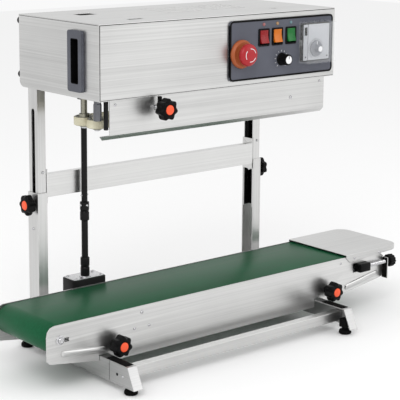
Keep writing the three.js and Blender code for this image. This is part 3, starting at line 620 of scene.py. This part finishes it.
# %% [markdown]
# ## Rollers and wheels
# Rollers and wheels are turned on a lathe, so each is a profile carried round its axis. The left
# roller has a slight crown, which keeps the belt in the middle, and the driven one is covered in
# grooved rubber. The roller at the tension end is a plain tube.

# %% Rollers
AXLE_HEIGHT = 93.5


def roller(node, shaft, crown, grooves, finish):
    """radius = r - crown * (2y/width)^2, less a shallow groove at even steps along the barrel."""
    low, high = span(node)
    r = (high[0] - low[0]) / 2
    along = np.linspace(-1, 1, 161)
    barrel = r - crown * along ** 2 - 0.7 * grooves * (np.cos(along * 20 * pi) > 0.8)
    profile = np.concatenate([
        [(shaft, low[1]), (shaft, 17.9), (r - 5, 17.9), (r - 5.4, 20), (r - 3, 20), (r - 2.4, 18)],
        np.stack([barrel, 90 + 71.8 * along], axis=-1)[1:-1],
        [(r - 2.4, 162), (r - 3, 160), (r - 5.4, 160), (r - 5, 162.1), (shaft, 162.1), (shaft, high[1])]])
    piece(f"{node}_turned", [turned(profile, "y", centre_of(node, "y"), 56, 0)], finish, node, [node])


roller("left_roller", 6, 0.8, 0, machined_aluminium)
roller("drive_roller", 6, 0.4, 1, roller_rubber)
low, high = span("tension_roller")
tube = [(6.4, low[1]), (24.3, low[1]), (24.3, high[1]), (6.4, high[1]), (6.4, low[1])]
piece("tension_roller_turned",
      [turned(tube, "y", ((low[0] + high[0]) / 2, 0, AXLE_HEIGHT), 56, 1.0, "joined")],
      machined_aluminium, "tension_roller", ["tension_roller"])

# %% [markdown]
# Each of the four wheels under the head is one profile with its flanged rim, its upright shaft
# and the small sprocket at the top of the shaft. A nut holds it from below: a nut is a turned
# piece with only six sides.

# %% Band wheels and their nuts
WHEEL = [(0, 428), (7.4, 428), (8, 428.6), (8, 432), (9.4, 432.6), (12.6, 432.6), (13.6, 431), (16.2, 431),
         (17, 431.8), (16.7, 432.8), (16.7, 445.2), (17, 446.2), (16.2, 447), (13.6, 447), (12.6, 445.6),
         (10.4, 445.6), (9.4, 447), (9, 451), (5, 451), (5, 492), (14.4, 492), (15, 493), (13.4, 494.5),
         (15, 496), (14.4, 497), (0, 497)]
for node in ("front_infeed_wheel", "rear_infeed_wheel", "front_outfeed_wheel", "rear_outfeed_wheel"):
    centre = centre_of(node, "z")
    piece(f"{node}_turned", [turned(WHEEL, "z", centre, 64, 0.5)], pale_brass, node, [node])
    nut = turned([(0, 425.2), (3.2, 425.2), (5.6, 425.8), (5.6, 428.4), (0, 428.4)], "z", centre, 6, 0)
    piece(f"{node}_nut", [nut], screw_steel, node)

# %% [markdown]
# ## Drive from the head to the belt
# A black rod comes down from the head to a universal joint, a lower shaft and a second joint,
# which turns the small gearbox behind the conveyor. A universal joint is two sleeves with a
# cross between them, so the profile is drawn in at its waist and two short pins cross there.

# %% Rods, joints and gearbox
SHAFT_X, SHAFT_Y = [(a + b) / 2 for a, b in zip(*span("drive_rod"))][:2]
on_shaft = (SHAFT_X, SHAFT_Y, 0)


def universal_joint(bottom, top, radius):
    """Two sleeves, a waist and the two pins of the cross."""
    waist = (bottom + top) / 2
    sleeves = turned([(0, bottom), (radius - 0.8, bottom), (radius, bottom + 1), (radius, waist - 3),
                      (radius - 0.3, waist - 2), (radius - 1.3, waist - 1), (radius - 1.3, waist + 1),
                      (radius - 0.3, waist + 2), (radius, waist + 3), (radius, top - 1),
                      (radius - 0.8, top), (0, top)], "z", on_shaft, 48, 0.6)
    pin = [(0, -radius - 0.1), (1.8, -radius - 0.1), (2.2, 0.3 - radius), (2.2, radius - 0.3),
           (1.8, radius + 0.1), (0, radius + 0.1)]
    pins = [turned(pin, axis, (SHAFT_X, SHAFT_Y, waist), 20, 0) for axis in ("x", "y")]
    return [sleeves, *pins]


def shaft(radius, bottom, top):
    return turned([(0, bottom), (radius - 0.7, bottom), (radius, bottom + 0.7), (radius, top - 0.7),
                   (radius - 0.7, top), (0, top)], "z", on_shaft, 40, 0)


low, high = span("drive_rod")
piece("drive_rod_turned", [shaft(5.5, low[2], high[2])], black_oxide, "drive_rod", ["drive_rod"])
low, high = span("upper_universal_joint")
piece("upper_joint_sleeves", universal_joint(low[2], high[2], 8.4), black_oxide,
      "upper_universal_joint", ["upper_universal_joint"])
low, high = span("lower_drive_shaft")
piece("lower_shaft_and_joint",
      [*universal_joint(136, 170, 8.4), shaft(6, 169, high[2]), shaft(5, low[2], 137)], black_oxide,
      "lower_drive_shaft", ["lower_drive_shaft"])
hub = [(5.9, 462), (11.4, 462), (12, 463), (12, 491), (13, 492), (19.4, 492), (20, 493), (18.6, 494.5),
       (20, 496), (19.4, 497), (12, 497), (12, 499.4), (11.4, 500), (5.9, 500), (5.9, 462)]
piece("drive_hub_turned", [turned(hub, "z", on_shaft, 48, 0.3, "joined")], black_oxide, "drive_hub",
      ["drive_hub"])

# %% [markdown]
# The gearbox is a small black casting with cooling ribs at its back and a bright lid, which a
# screw holds at each corner. The upper joint has two set screws and the rod a stop pin.

# %% Gearbox, screws and pin


def screw(centre, axis, facing, radius=3.0, height=1.6):
    """A domed head with a round socket. `facing` is the way it points along its axis."""
    bowl = [(0, height * 0.35), (radius * 0.38, height * 0.35), (radius * 0.46, height),
            (radius * 0.62, height), (radius * 0.9, height * 0.6), (radius, 0.1), (radius * 0.9, -0.3),
            (0, -0.3)]
    p = np.array(bowl)
    return turned(p * (1, facing), axis, centre, 24, 0.15)


low, high = span("gearbox_body")
body = [block(low, high, "z", 5, 1.2),
        block((low[0] - 0.1, low[1] + 2, 68), (low[0] + 3, high[1] - 2, 76), "x", 2, 0.6)]
ribs = [block((low[0] + 6 + x, high[1] - 1, 72), (low[0] + 9 + x, high[1] + 1.6, 120), "y", 1.2, 0.6)
        for x in 9.2 * np.arange(7)]
piece("gearbox_casting", body + ribs, black_oxide, "gearbox_body", ["gearbox_body"])
LID = high[2] + 1.6
plate = block((low[0] + 2, low[1] + 1.5, high[2] - 0.2), (high[0] - 2, high[1] - 1.5, LID), "z", 4, 0.4)
collar = turned([(5.4, high[2]), (11, high[2]), (11, high[2] + 3), (10, high[2] + 4), (5.4, high[2] + 4),
                 (5.4, high[2])], "z", on_shaft, 40, 0.3, "joined")
corners = [screw((x, y, LID), "z", 1, 3.2, 1.8) for x in (low[0] + 8, high[0] - 8)
           for y in (low[1] + 7, high[1] - 7)]
piece("gearbox_lid", [plate, collar, *corners], screw_steel, "gearbox_body")
set_screws = [screw((SHAFT_X - 8.2, SHAFT_Y, 268), "x", -1, 2.4, 1.2),
              screw((SHAFT_X, SHAFT_Y - 8.2, 268), "y", -1, 2.4, 1.2)]
piece("upper_joint_set_screws", set_screws, screw_steel, "upper_universal_joint")
piece("rod_stop_pin", [bent_rod([(SHAFT_X + x, SHAFT_Y, 286) for x in (-8, 0, 8)], 1.3)], screw_steel,
      "drive_rod")

# %% [markdown]
# ## Star knobs
# Five star knobs clamp the posts, the conveyor and the guard. A star knob is a turned hub whose
# rim swells and narrows seven times on the way round: the radius is multiplied by
# 1 + lobing * 0.11 * cos(7 * angle), and the lobing fades to nothing at the hub and at the face.
# Each has a snap-in orange cap and a steel stud.

# %% Star knobs
def star_knob(node, axis, facing, centre, hub, head, stud):
    """A lobed head on a hub, its stud behind it and its cap in front."""
    low, high = span(node)
    a = "xyz".index(axis)
    seat = high[a] - stud if facing < 0 else low[a] + stud
    spot = np.array(centre, float)
    spot[a] = seat
    top = hub + head
    profile = [(0, top - 1.6), (9, top - 1.6), (9.4, top - 0.2), (10.6, top, 0), (13.2, top - 0.3, 0.5),
               (16.2, top - 1.4, 0.9), (17.9, top - 3.4, 1), (18, top - 6, 1), (18, hub + 3, 1),
               (17, hub + 0.8, 0.9), (14.5, hub, 0.6), (10.5, hub, 0), (9.3, hub - 1, 0), (8.6, 0.2, 0),
               (8.2, 0, 0), (0, 0, 0)]
    p = np.array([(*row, 0)[:3] for row in profile], float) * (0.965, facing, 1)
    piece(f"{node}_moulding", [turned(p, axis, spot, 140, 0.9, lobes=7)], black_moulding, node, [node])
    cap = np.array([(0, top + 0.5), (5, top + 0.35), (8, top - 0.2), (8.9, top - 1), (8.9, top - 2.2),
                    (0, top - 2.2)]) * (0.965, facing)
    piece(f"{node}_cap", [turned(cap, axis, spot, 48, 0.6)], orange_cap, node)
    rod = np.array([(0, 0.5), (3.9, 0.5), (3.9, 0.8 - stud), (3.2, -stud), (0, -stud)]) * (1, facing)
    piece(f"{node}_stud", [turned(rod, axis, spot, 24, 0)], screw_steel, node)


POST_Y = 208
star_knob("left_conveyor_knob", "y", -1, (36, 0, 65), 10, 20, 4)
star_knob("right_conveyor_knob", "y", -1, (552, 0, 65), 10, 20, 4)
star_knob("guard_knob", "y", -1, (126, 0, 466), 6, 20, 36)
star_knob("left_post_knob", "x", -1, (0, POST_Y, 278), 5, 14, 18)
star_knob("right_post_knob", "x", 1, (0, POST_Y, 278), 5, 14, 18)
print("star knobs made: 5")

# %% [markdown]
# ## Belt tension
# Two long screws at the right end push the carriage that holds the tension roller. A screw
# thread is a cylinder whose radius follows a cosine that climbs one pitch for each turn, so the
# radius is r - d + d * cos(2 * pi * x / pitch - angle).

# %% Tension screws and carriage
def threaded(axis, centre, radius, start, end, pitch=1.5, cut=0.28, sides=24):
    """Radius r - d + d * cos(2 pi x / pitch - angle): a thread that climbs once a turn."""
    x = np.linspace(start, end, int(abs(end - start) / pitch * 8) + 2)[:, None]
    angle = np.linspace(0, 2 * pi, sides, endpoint=False)[None]
    r = radius - cut + cut * np.cos(2 * pi * x / pitch - angle)
    rings = np.stack([r * np.cos(angle), r * np.sin(angle), np.broadcast_to(x, r.shape)], axis=-1)
    return loft(stand(rings, axis, centre))


for side in ("front", "rear"):
    node = f"{side}_tension_screw"
    low, high = span(node)
    middle = (0, (low[1] + high[1]) / 2, 96)
    ribs = np.array([(0, high[0] - 1.2), (6, high[0] - 1.2), (7, high[0] - 0.2), (9.5, high[0], 0.3),
                     (11.6, high[0] - 1.6, 1), (12, high[0] - 4, 1), (12, high[0] - 14, 1),
                     (11.2, high[0] - 16, 0.6), (6.5, high[0] - 16, 0), (6.5, high[0] - 20, 0),
                     (0, high[0] - 20, 0)], dtype=object)
    grip = turned([(*row, 0)[:3] for row in ribs], "x", middle, 144, 0.6, lobes=12, depth=0.06)
    piece(f"{node}_grip", [grip], black_moulding, node, [node])
    piece(f"{node}_thread", [threaded("x", middle, 4, low[0], high[0] - 19)], screw_steel, node)
axle = turned([(0, 0), (5.4, 0), (6, 0.6), (6, 179.4), (5.4, 180), (0, 180)], "y",
              (644, 0, AXLE_HEIGHT), 40, 0)
blocks = [block((634, y, 86), (662, y + 17.3, 103), "x", 3, 1) for y in (-3.5, 166.2)]
piece("tension_carriage_blocks", [axle, *blocks], black_moulding, "tension_carriage",
      ["tension_carriage"])

# %% [markdown]
# ## Feet
# Each foot is a rubber pad with a groove round its rim, on a plug that fills the arm.

# %% Feet
for node in ("front_left_foot", "front_right_foot", "rear_left_foot", "rear_right_foot"):
    low, high = span(node)
    middle = ((low[0] + high[0]) / 2, -64 if "front" in node else 250, 0)
    pad = turned([(0, 0), (10.6, 0), (12, 1.2), (12, 2.6), (11.4, 3.2), (12, 3.8), (11.6, 5.6), (10, 8),
                  (6, 8.4), (5.6, 14), (0, 14)], "z", middle, 48, 0.6)
    plug = block((middle[0] - 8.9, middle[1] - 8.5, 13), (middle[0] + 8.9, middle[1] + 8.5, high[2]),
                 "z", 2, 0.8)
    piece(f"{node}_pad", [pad, plug], foot_rubber, node, [node])

# %% [markdown]
# ## Control panel
# The slate panel has a black rim, which is a rounded section carried round the panel's outline:
# at each step across the section the outline is drawn in by an inset and moved forward by a
# depth. Three rockers stand in black bezels, with a small lamp over each.

# %% Rims and bezels
def rim(low, high, corner, section, axis="y", steps=8):
    """A closed section of (inset, depth) carried round a rounded outline between two corners."""
    low, high = np.array(low, float), np.array(high, float)
    size, middle = (high - low)[list(AXES[axis])], (high + low) / 2
    rings = np.stack([rounded_outline(size[0] - 2 * i, size[1] - 2 * i, max(corner - i, 0.2), steps)
                      for i, _ in section])
    depth = np.array([d for _, d in section])[:, None, None]
    depth = np.broadcast_to(depth, rings.shape[:2] + (1,))
    middle[AXES[axis][2]] = 0
    return loft(stand(np.concatenate([rings, depth], axis=-1), axis, middle), "joined")


PANEL_LOW, PANEL_HIGH = span("control_panel")
FACE = PANEL_LOW[1]
edge = [(0, FACE + 2.6), (0, FACE - 0.5), (0.5, FACE - 1.0), (2.6, FACE - 1.0), (3.2, FACE - 0.6),
        (3.4, FACE + 0.5)]
piece("panel_rim", [rim(PANEL_LOW, PANEL_HIGH, 8, edge)], black_moulding, "control_panel")


def rocker_face(node, paint):
    """A paddle whose front is hollowed: depth = -9.7 + 1.8 * (1 - (z / 11.6)^2) across its
    height, carried along X with softened ends, then tilted about its pivot."""
    low, high = span(node)
    x, tilt, pivot, half = (low[0] + high[0]) / 2, radians(-9), np.array([2.0, 571.0]), 11.6
    z = np.linspace(-half, half, 17)
    front = np.stack([-9.7 + 1.8 * (1 - (z / half) ** 2), z], axis=-1)
    outline = np.concatenate([front, [(-7, 11.9), (4, 8), (4, -8), (-7, -11.9)]])
    along = np.array([-9.4, -9.2, -8.6, 8.6, 9.2, 9.4])
    shrink = np.array([0.92, 0.97, 1, 1, 0.97, 0.92])
    section = outline[None] * shrink[:, None, None]
    turned_y = section[..., 0] * cos(tilt) - section[..., 1] * sin(tilt) + pivot[0]
    turned_z = section[..., 0] * sin(tilt) + section[..., 1] * cos(tilt) + pivot[1]
    rings = np.stack([np.broadcast_to(x + along[:, None], turned_y.shape), turned_y, turned_z], axis=-1)
    piece(f"{node}_paddle", [loft(rings)], paint, node, [node], crease=25)
    return x


BEZEL = [(0, FACE + 0.3), (0, FACE - 1.6), (0.6, FACE - 2.2), (2.4, FACE - 2.2), (3.1, FACE - 1.6),
         (3.1, FACE + 0.3)]
LENS = [(0, FACE - 2.2), (1.8, FACE - 2.0), (3, FACE - 1.2), (3.2, FACE + 0.2), (0, FACE + 0.2)]
bezels = []
for node, paint, glow in (("power_rocker", rocker_red, (150, 88, 88)),
                          ("heat_rocker", rocker_amber, (158, 124, 86)),
                          ("drive_rocker", rocker_green, (92, 122, 130))):
    x = rocker_face(node, paint)
    bezels.append(rim((x - 13.2, 0, 555.2), (x + 13.2, 0, 586.8), 2, BEZEL, steps=4))
    piece(f"{node}_lamp", [turned(LENS, "y", (x, 0, 594.3), 28, 0.4)],
          lamp_lens(f"{node}_lens", glow), "control_panel")
piece("rocker_bezels", bezels, black_moulding, "control_panel")

# %% [markdown]
# The stop button is a red mushroom in a dark orange ring. Three short raised arcs on its top
# show the way it is twisted to let it out again.

# %% Stop button
stop = centre_of("stop_button_ring", "y")
collar = [(8.4, -12), (14, -12), (15, -11), (20, -11), (22, -11.6), (25.4, -7.4), (25.4, -3.7), (11, -3.7),
          (11, 26), (8.4, 26), (8.4, -12)]
piece("stop_ring", [turned(collar, "y", stop, 72, 0.9, "joined")], ring_orange, "stop_button_ring",
      ["stop_button_ring"])
mushroom = [(0, -30.5), (7, -30.3), (12.5, -29.6), (17, -27.8), (19.4, -25.2), (20, -22.6), (19.6, -20),
            (17.6, -18.6), (15.6, -17.6), (8, -17.5), (8, 20), (0, 20)]
piece("stop_mushroom", [turned(mushroom, "y", stop, 80, 1.6)], stop_red, "stop_button", ["stop_button"])
arcs = []
ARC_RADIUS, ARC_DEPTH = 11.5, -29.7
for start in (0.3, 0.3 + 2 * pi / 3, 0.3 + 4 * pi / 3):
    a = np.linspace(start, start + 1.35, 20)
    path = np.stack([stop[0] + ARC_RADIUS * np.cos(a), np.full(20, ARC_DEPTH),
                     stop[2] + ARC_RADIUS * np.sin(a)], axis=-1)
    arcs.append(bent_rod(path, 0.6, 10, (0, 1, 0)))
piece("stop_arrows", arcs, white_cap, "stop_button")

# %% [markdown]
# The speed knob is fluted so that fingers grip it, with a silver cap and a ring of scale marks
# round it. The flutes are the same cosine lobing as the star knobs, finer and shallower.

# %% Speed knob and scale marks
def scale_marks(centre, inner, outer, face, count, sweep, wide=0.7):
    """Thin bars from one radius to another, evenly spaced over a sweep open at the bottom."""
    bars = []
    for angle in np.linspace(-sweep / 2, sweep / 2, count) + pi / 2:
        bar, faces = block((inner, face - 0.12, -wide / 2), (outer, face + 0.1, wide / 2), "y", 0.25, 0.08, 2)
        turn = np.array([[cos(angle), 0, -sin(angle)], [0, 1, 0], [sin(angle), 0, cos(angle)]])
        bars.append((bar @ turn.T + np.array([centre[0], 0, centre[2]]), faces))
    return bars


speed, tip = centre_of("speed_knob", "y"), span("speed_knob")[0][1]
flutes = [(0, tip + 0.6, 0), (7.6, tip + 0.6, 0), (8, tip, 0), (9, tip + 0.4, 0.5), (9.6, tip + 2, 1),
          (10.2, -7, 1), (10.4, -6.4, 0.5), (11.6, -5.6, 0), (11.8, -3.8, 0), (3, -3.7, 0), (3, 8, 0),
          (0, 8, 0)]
piece("speed_knob_grip", [turned(flutes, "y", speed, 160, 0.4, lobes=20, depth=0.035)], black_moulding,
      "speed_knob", ["speed_knob"])
cap = turned([(0, tip - 0.2), (6.6, tip - 0.1), (7.3, tip + 0.4), (7.3, tip + 1.2), (0, tip + 1.2)],
             "y", speed, 40, 0.3)
pointer = block((speed[0] - 0.6, tip - 0.5, speed[2] + 1.5), (speed[0] + 0.6, tip + 1, speed[2] + 6.8),
                "y", 0.5, 0.2)
piece("speed_knob_cap", [cap], white_cap, "speed_knob")
piece("speed_knob_pointer", [pointer], black_moulding, "speed_knob")
piece("speed_scale", scale_marks(speed, 13.6, 16.6, FACE, 11, radians(280)), white_cap,
      "control_panel")

# %% [markdown]
# The temperature controller is a black case with a pale face, a small dark window, two screw
# heads, a scale, and a grey dial with a white cap and one white line.

# %% Temperature controller
low, high = span("temperature_controller")
CONTROL_FACE = low[1]
left, right, foot, head = low[0], high[0], low[2], high[2]
case = [block((left, CONTROL_FACE + 0.5, foot), (right, FACE - 0.3, head), "y", 2.5, 0.8),
        block((left + 3, FACE - 0.6, foot + 3), (right - 3, high[1], head - 3), "y", 2, 0.8)]
piece("controller_case", case, black_moulding, "temperature_controller", ["temperature_controller"])
face, strip = [block((x0, CONTROL_FACE, foot + 2), (x1, CONTROL_FACE + 1.2, head - 2), "y", round_by, 0.4)
               for x0, x1, round_by in ((left + 14, right - 2, 1.6), (left + 2, left + 13, 1.2))]
piece("controller_face", [face, strip], pale_face, "temperature_controller")
window = block((left + 4, CONTROL_FACE - 0.2, head - 22), (left + 11, CONTROL_FACE + 1, head - 7),
               "y", 0.8, 0.2)
DOT = [(0, CONTROL_FACE - 0.5), (1.3, CONTROL_FACE - 0.4), (1.6, CONTROL_FACE + 0.3), (0, CONTROL_FACE + 0.3)]
dots = [turned(DOT, "y", (x, 0, foot + 8), 20, 0.2) for x in (left + 7.5, right - 7)]
piece("controller_window", [window, *dots], black_moulding, "temperature_controller")
dial, tip = centre_of("temperature_dial", "y"), span("temperature_dial")[0][1]
piece("controller_scale", scale_marks(dial, 16.4, 19.4, CONTROL_FACE, 31, radians(300), 0.5),
      black_moulding, "temperature_controller")
skirt = [(0, tip + 0.6, 0), (6, tip + 0.5, 0), (6.4, tip + 1.2, 0), (6.5, -15.4, 0),
         (7.4, -15, 0), (13.6, -15, 0.3), (14.6, -14, 1), (14.6, -11.6, 1), (3, -11.4, 0), (3, 4, 0),
         (0, 4, 0)]
piece("dial_skirt", [turned(skirt, "y", dial, 180, 0.4, lobes=36, depth=0.02)], dial_grey,
      "temperature_dial", ["temperature_dial"])
top = turned([(0, tip), (4.6, tip + 0.1), (5.4, tip + 0.7), (5.4, tip + 2), (0, tip + 2)], "y", dial, 40, 0.3)
line = block((dial[0] - 0.6, -15.4, dial[2] + 7.6), (dial[0] + 0.6, -14.6, dial[2] + 13.4), "y", 0.5, 0.2)
piece("dial_cap", [top, line], white_cap, "temperature_dial")

# %% [markdown]
# The controller's clear cover is a box with one open side. It is made by going over its outer
# skin from the middle of the front to the back rim and returning inside. It has a latch on the
# left and two hinge barrels on the right.

# %% Clear cover
low, high = span("controller_cover")
front, back = low[1], high[1]
skins = [(2.0, front), (0.9, front + 0.3), (0.2, front + 1.0), (0, front + 2.2), (0, back), (1.5, back),
         (1.5, front + 2.4), (1.9, front + 1.7), (2.6, front + 1.5)]
size, middle = high - low, (high + low) / 2
rings = np.stack([rounded_outline(size[2] - 2 * i, size[0] - 2 * i, max(3.4 - i, 0.6), 6) for i, _ in skins])
depth = np.broadcast_to(np.array([d for _, d in skins])[:, None, None], rings.shape[:2] + (1,))
middle[1] = 0
box = loft(stand(np.concatenate([rings, depth], axis=-1), "y", middle))
piece("clear_cover", [box], clear_acrylic, "controller_cover", ["controller_cover"])
latch = block((low[0] - 1.4, back - 9, middle[2] - 6), (low[0] + 0.2, back - 1, middle[2] + 6), "x", 1.2, 0.5)
hinges = [turned([(0, z), (1.5, z), (1.5, z + 12), (0, z + 12)], "z", (high[0] + 1.4, back - 0.8, 0), 20, 0.3)
          for z in (low[2] + 8, high[2] - 20)]
piece("cover_latch_and_hinges", [latch, *hinges], clear_acrylic, "controller_cover")
print("control panel face is at Y =", round(float(FACE), 2), "mm")

# %% [markdown]
# ## Head details
# The front sheet of the head meets the end and the roof in narrow dark joints, and the roof has
# rows of pressed louvres for cooling. Rubber bumpers stand on the back, and screws hold the
# guard. Small pieces like these are what make a folded box read as a machine.

# %% Joints, louvres and bumpers
JOINTS = [((0.9, -0.14, 489), (2.4, 0.4, 613), "z"), ((2, -0.14, 612.2), (543, 0.4, 613.4), "x"),
          ((-0.14, 2, 612.4), (0.4, 236, 613.2), "y"), ((2, -0.14, 488.4), (543, 0.4, 489.2), "x")]
dark_lines = [block(*joint, 0.2, 0.06, 2) for joint in JOINTS]
piece("head_joint_lines", dark_lines, seam_shadow, "head_shell")


def louvre(x0, x1, y):
    """A pressed hood: height = 0.9 * sin^0.7 across the slit, closing to nothing at both ends."""
    along = np.linspace(-1, 1, 25)[:, None]
    across_it = np.linspace(0, pi, 9)[None]
    fade = (1 - along ** 8) ** 0.5
    x = (x0 + x1) / 2 + along * (x1 - x0) / 2 + 0 * across_it
    yy = y - 2.4 * np.cos(across_it) * (0.4 + 0.6 * fade)
    z = 614.95 + 0.9 * fade * np.sin(across_it) ** 0.7
    rings = np.stack([x, yy, z], axis=-1)
    under = rings[:, ::-1] * (1, 1, 0) + (0, 0, 614.6)
    return loft(np.concatenate([rings, under], axis=1))


VENTS = [(x, y) for y in range(105, 196, 13) for x in (222, 326)]
rows = [louvre(x, x + 88, y) for x, y in VENTS]
slits = [block((x + 4, y - 3.5, 614.8), (x + 84, y - 2.3, 615.08), "x", 0.2, 0.05, 2) for x, y in VENTS]
piece("roof_louvres", rows, steel_along, "head_shell")
piece("roof_slits", slits, seam_shadow, "head_shell")
bumper = [(0, 249.6), (4, 249.2), (6.4, 247.4), (7, 244), (6.2, 239.4), (7.4, 238.6), (7.4, 238), (0, 238)]
piece("head_bumpers", [turned(bumper, "y", (x, 0, z), 32, 0.8) for x in (9, 536) for z in (508, 603)],
      foot_rubber, "head_shell")
head_screws = [screw((x, y, 614.3), "z", 1, 3, 0.7) for x in (14, 531) for y in (14, 222)]
head_screws += [screw((444, 10, 454), "y", -1, 3.4, 1.6)]
head_screws += [screw((x, 10, 478), "y", -1, 2.6, 1.2) for x in (40, 518)]
head_screws += [screw((x, 193.5, z), "y", -1, 2.6, 1.2) for x in (17, 532) for z in (336, 284)]
piece("head_screws", head_screws, screw_steel, "head_shell")

# %% [markdown]
# The grip's pocket is lined in black, and dark strips inside both posts, where one channel runs
# inside the other, are painted shade. A lining or strip is the wall of its channel, moved inwards
# by its own thickness.

# %% The grip's lining and painted shade inside the posts
low, high = span("end_handle")
y0, y1, z0, z1 = low[1] + 9.3, high[1] - 9.3, low[2] + 13.8, high[2] - 13.8
pocket = [(0, low[0] + 0.7), (0, 19.7), (0.8, 19), (0.8, low[0] + 0.7)]
walls = rim((0, y0, z0), (0.1, y1, z1), 3, pocket, "x")
bottom = block((18.6, y0 + 0.4, z0 + 0.4), (19.6, y1 - 0.4, z1 - 0.4), "x", 3, 0.2)
piece("grip_shade_strips", [walls, bottom], black_moulding, "end_handle")


def post_shade_strips(node, thick, wall, z0, z1):
    """Dark strips on a channel's web, either side of its slot, and on both flanges: painted shade."""
    low, high = span(node)
    left = node.startswith("left")
    web = low[0] + wall if left else high[0] - wall - thick
    mouth = (web + thick, high[0] - 1) if left else (low[0] + 1, web)
    middle, slot = (low[1] + high[1]) / 2, 5.6
    strips = [block((web, y0, z0), (web + thick, y1, z1), "z", 0.5, 0.2, 2)
              for y0, y1 in ((low[1] + wall, middle - slot), (middle + slot, high[1] - wall))]
    for y in (low[1] + wall, high[1] - wall - thick):
        strips.append(block((mouth[0], y, z0), (mouth[1], y + thick, z1), "z", 0.5, 0.2, 2))
    piece(f"{node}_shade_strips", strips, black_moulding, node)


for side in ("left", "right"):
    post_shade_strips(f"{side}_upper_post", 1.0, 2.1, 202, 485)
    post_shade_strips(f"{side}_lower_post", 1.0, 2.1, 52, 86)

# %% [markdown]
# Behind the guard knob a black clamp bar comes down from the head, and at the infeed end a grey
# spring post and a black stop post stand beside the wheels.

# %% Posts and clamp under the head
washer = [(4.2, -3.9), (7.6, -3.9), (7.6, -2.4), (4.2, -2.4), (4.2, -3.9)]
clamp = [block((123.5, -3.6, 470), (130, 3.4, 486), "z", 2, 0.8),
         turned(washer, "y", (126, 0, 466), 40, 0.3, "joined")]
piece("guard_clamp", clamp, black_moulding, "front_guard")
spring = turned([(0, 452), (6.4, 452), (7, 453), (7, 480), (6, 481.6), (6, 486.8), (0, 486.8)], "z",
                (13, 23, 0), 40, 0.6)
post = turned([(0, 437), (3.6, 437), (4, 438), (4, 486.8), (0, 486.8)], "z", (23, 13, 0), 32, 0.4)
piece("infeed_spring_post", [spring], dark_aluminium, "head_base_plate")
piece("infeed_stop_post", [post], black_oxide, "head_base_plate")

# %% [markdown]
# ## Conveyor details
# Two pressed beads stiffen each side plate near its ends. A bead is a half-round bar laid along
# the plate.

# %% Beads on the side plates
def bead(x0, x1, z0, z1, y, outward, height=12.0):
    """A half-round rib: it stands out by 3.4 * sin^0.8 across its height, with round ends."""
    along = np.linspace(-1, 1, 41)[:, None]
    over = np.linspace(0, pi, 15)[None]
    reach = (x1 - x0) / 2
    end = np.clip((1 - np.abs(along)) * reach / (height / 2), 0, 1)
    fade = np.sqrt(1 - (1 - end) ** 2)
    z = (z0 + z1) / 2 + along * (z1 - z0) / 2 - height / 2 * np.cos(over) * fade
    yy = y + outward * 3.4 * fade * np.sin(over) ** 0.8
    rings = np.stack([(x0 + x1) / 2 + along * reach + 0 * over, yy, z], axis=-1)
    back = rings[:, ::-1] * (1, 0, 1) + (0, y - outward * 0.3, 0)
    return loft(np.concatenate([rings, back], axis=1))


PLATE_FACES = ((10, -1), (170, 1))
beads = []
for face, outward in PLATE_FACES:
    beads += [bead(-76, 18, 69, 58, face, outward), bead(602, 694, 59, 75, face, outward)]
piece("plate_beads", beads, steel_along, "front_side_plate")

# %% [markdown]
# Screws hold the bearing blocks, the posts and the arms, and the end cover is screwed on through
# its skirt. The left roller has a bolt at each end. A thin black sheet on each arm, where the
# conveyor rests under its knob, is painted shade, and a black pad lies behind each tab that a
# tension screw goes through.

# %% Screws, bolts, a pad at each tab and painted shade on the arms
spots = [(96, 109, 3.6), (80, 82, 2.8), (112, 82, 2.8), (590, 110, 2.4)]
plate_screws = [screw((x, face, z), "y", outward, size, size * 0.55) for x, z, size in spots
                for face, outward in PLATE_FACES if not (outward > 0 and 60 < x < 140)]
plate_screws += [screw((x, face, 116), "y", outward, 2.8, 1.5) for x in (627, 698)
                 for face, outward in ((8, -1), (172, 1))]
for x, outward in ((4.5, -1), (540.5, 1)):
    plate_screws += [screw((x, POST_Y, z), "x", outward, 2.8, 1.4) for z in (233, 74)]
    plate_screws += [screw((x, y, 30), "x", outward, 3.0, 1.6) for y in (-56, 204, 232)]
piece("frame_screws", plate_screws, screw_steel, "front_side_plate")
bolt = np.array([(0, 3.4), (2, 3.4), (2.6, 4.4), (4.2, 4.4), (5, 3.6), (5.2, 1.6), (8, 1.3), (8.4, 0.9),
                 (8.4, 0.1), (0, 0.1)])
roller_bolts = [turned(bolt * (1, outward), "y", (-76, face, AXLE_HEIGHT), 32, 0.2)
                for face, outward in PLATE_FACES]
piece("left_roller_bolts", roller_bolts, screw_steel, "left_roller")
slot_mark = block((-67, 9.86, 89.5), (-59, 10.4, 95), "x", 2.4, 0.06, 3)
piece("plate_slot", [slot_mark], seam_shadow, "front_side_plate")
# Painted shade: a thin black sheet on each arm's top, under the conveyor knob.
knob_shade = [block((x + 1.5, -62, 48.8), (x + 18.5, -6, 49.5), "z", 2, 0.25) for x in (4.5, 520.5)]
piece("arm_knob_shade", knob_shade, foot_rubber, "left_arm")
tab_pads = [block((709.2, y + 0.6, 63), (710, y + 13.4, 104), "x", 1.5, 0.3) for y in (-4, 170)]
piece("tab_pads", tab_pads, foot_rubber, "front_side_plate")
arm_joints = [block((x, -18.6, 14), (x + 0.54, -17.6, 48.4), "z", 0.2, 0.06, 2) for x in (4.36, 540.1)]
arm_joints += [turned([(0, 4.3), (2.6, 4.3), (2.6, 5), (0, 5)], "x", (0, -40, 30), 24, 0)]
piece("arm_joint_lines", arm_joints, seam_shadow, "left_arm")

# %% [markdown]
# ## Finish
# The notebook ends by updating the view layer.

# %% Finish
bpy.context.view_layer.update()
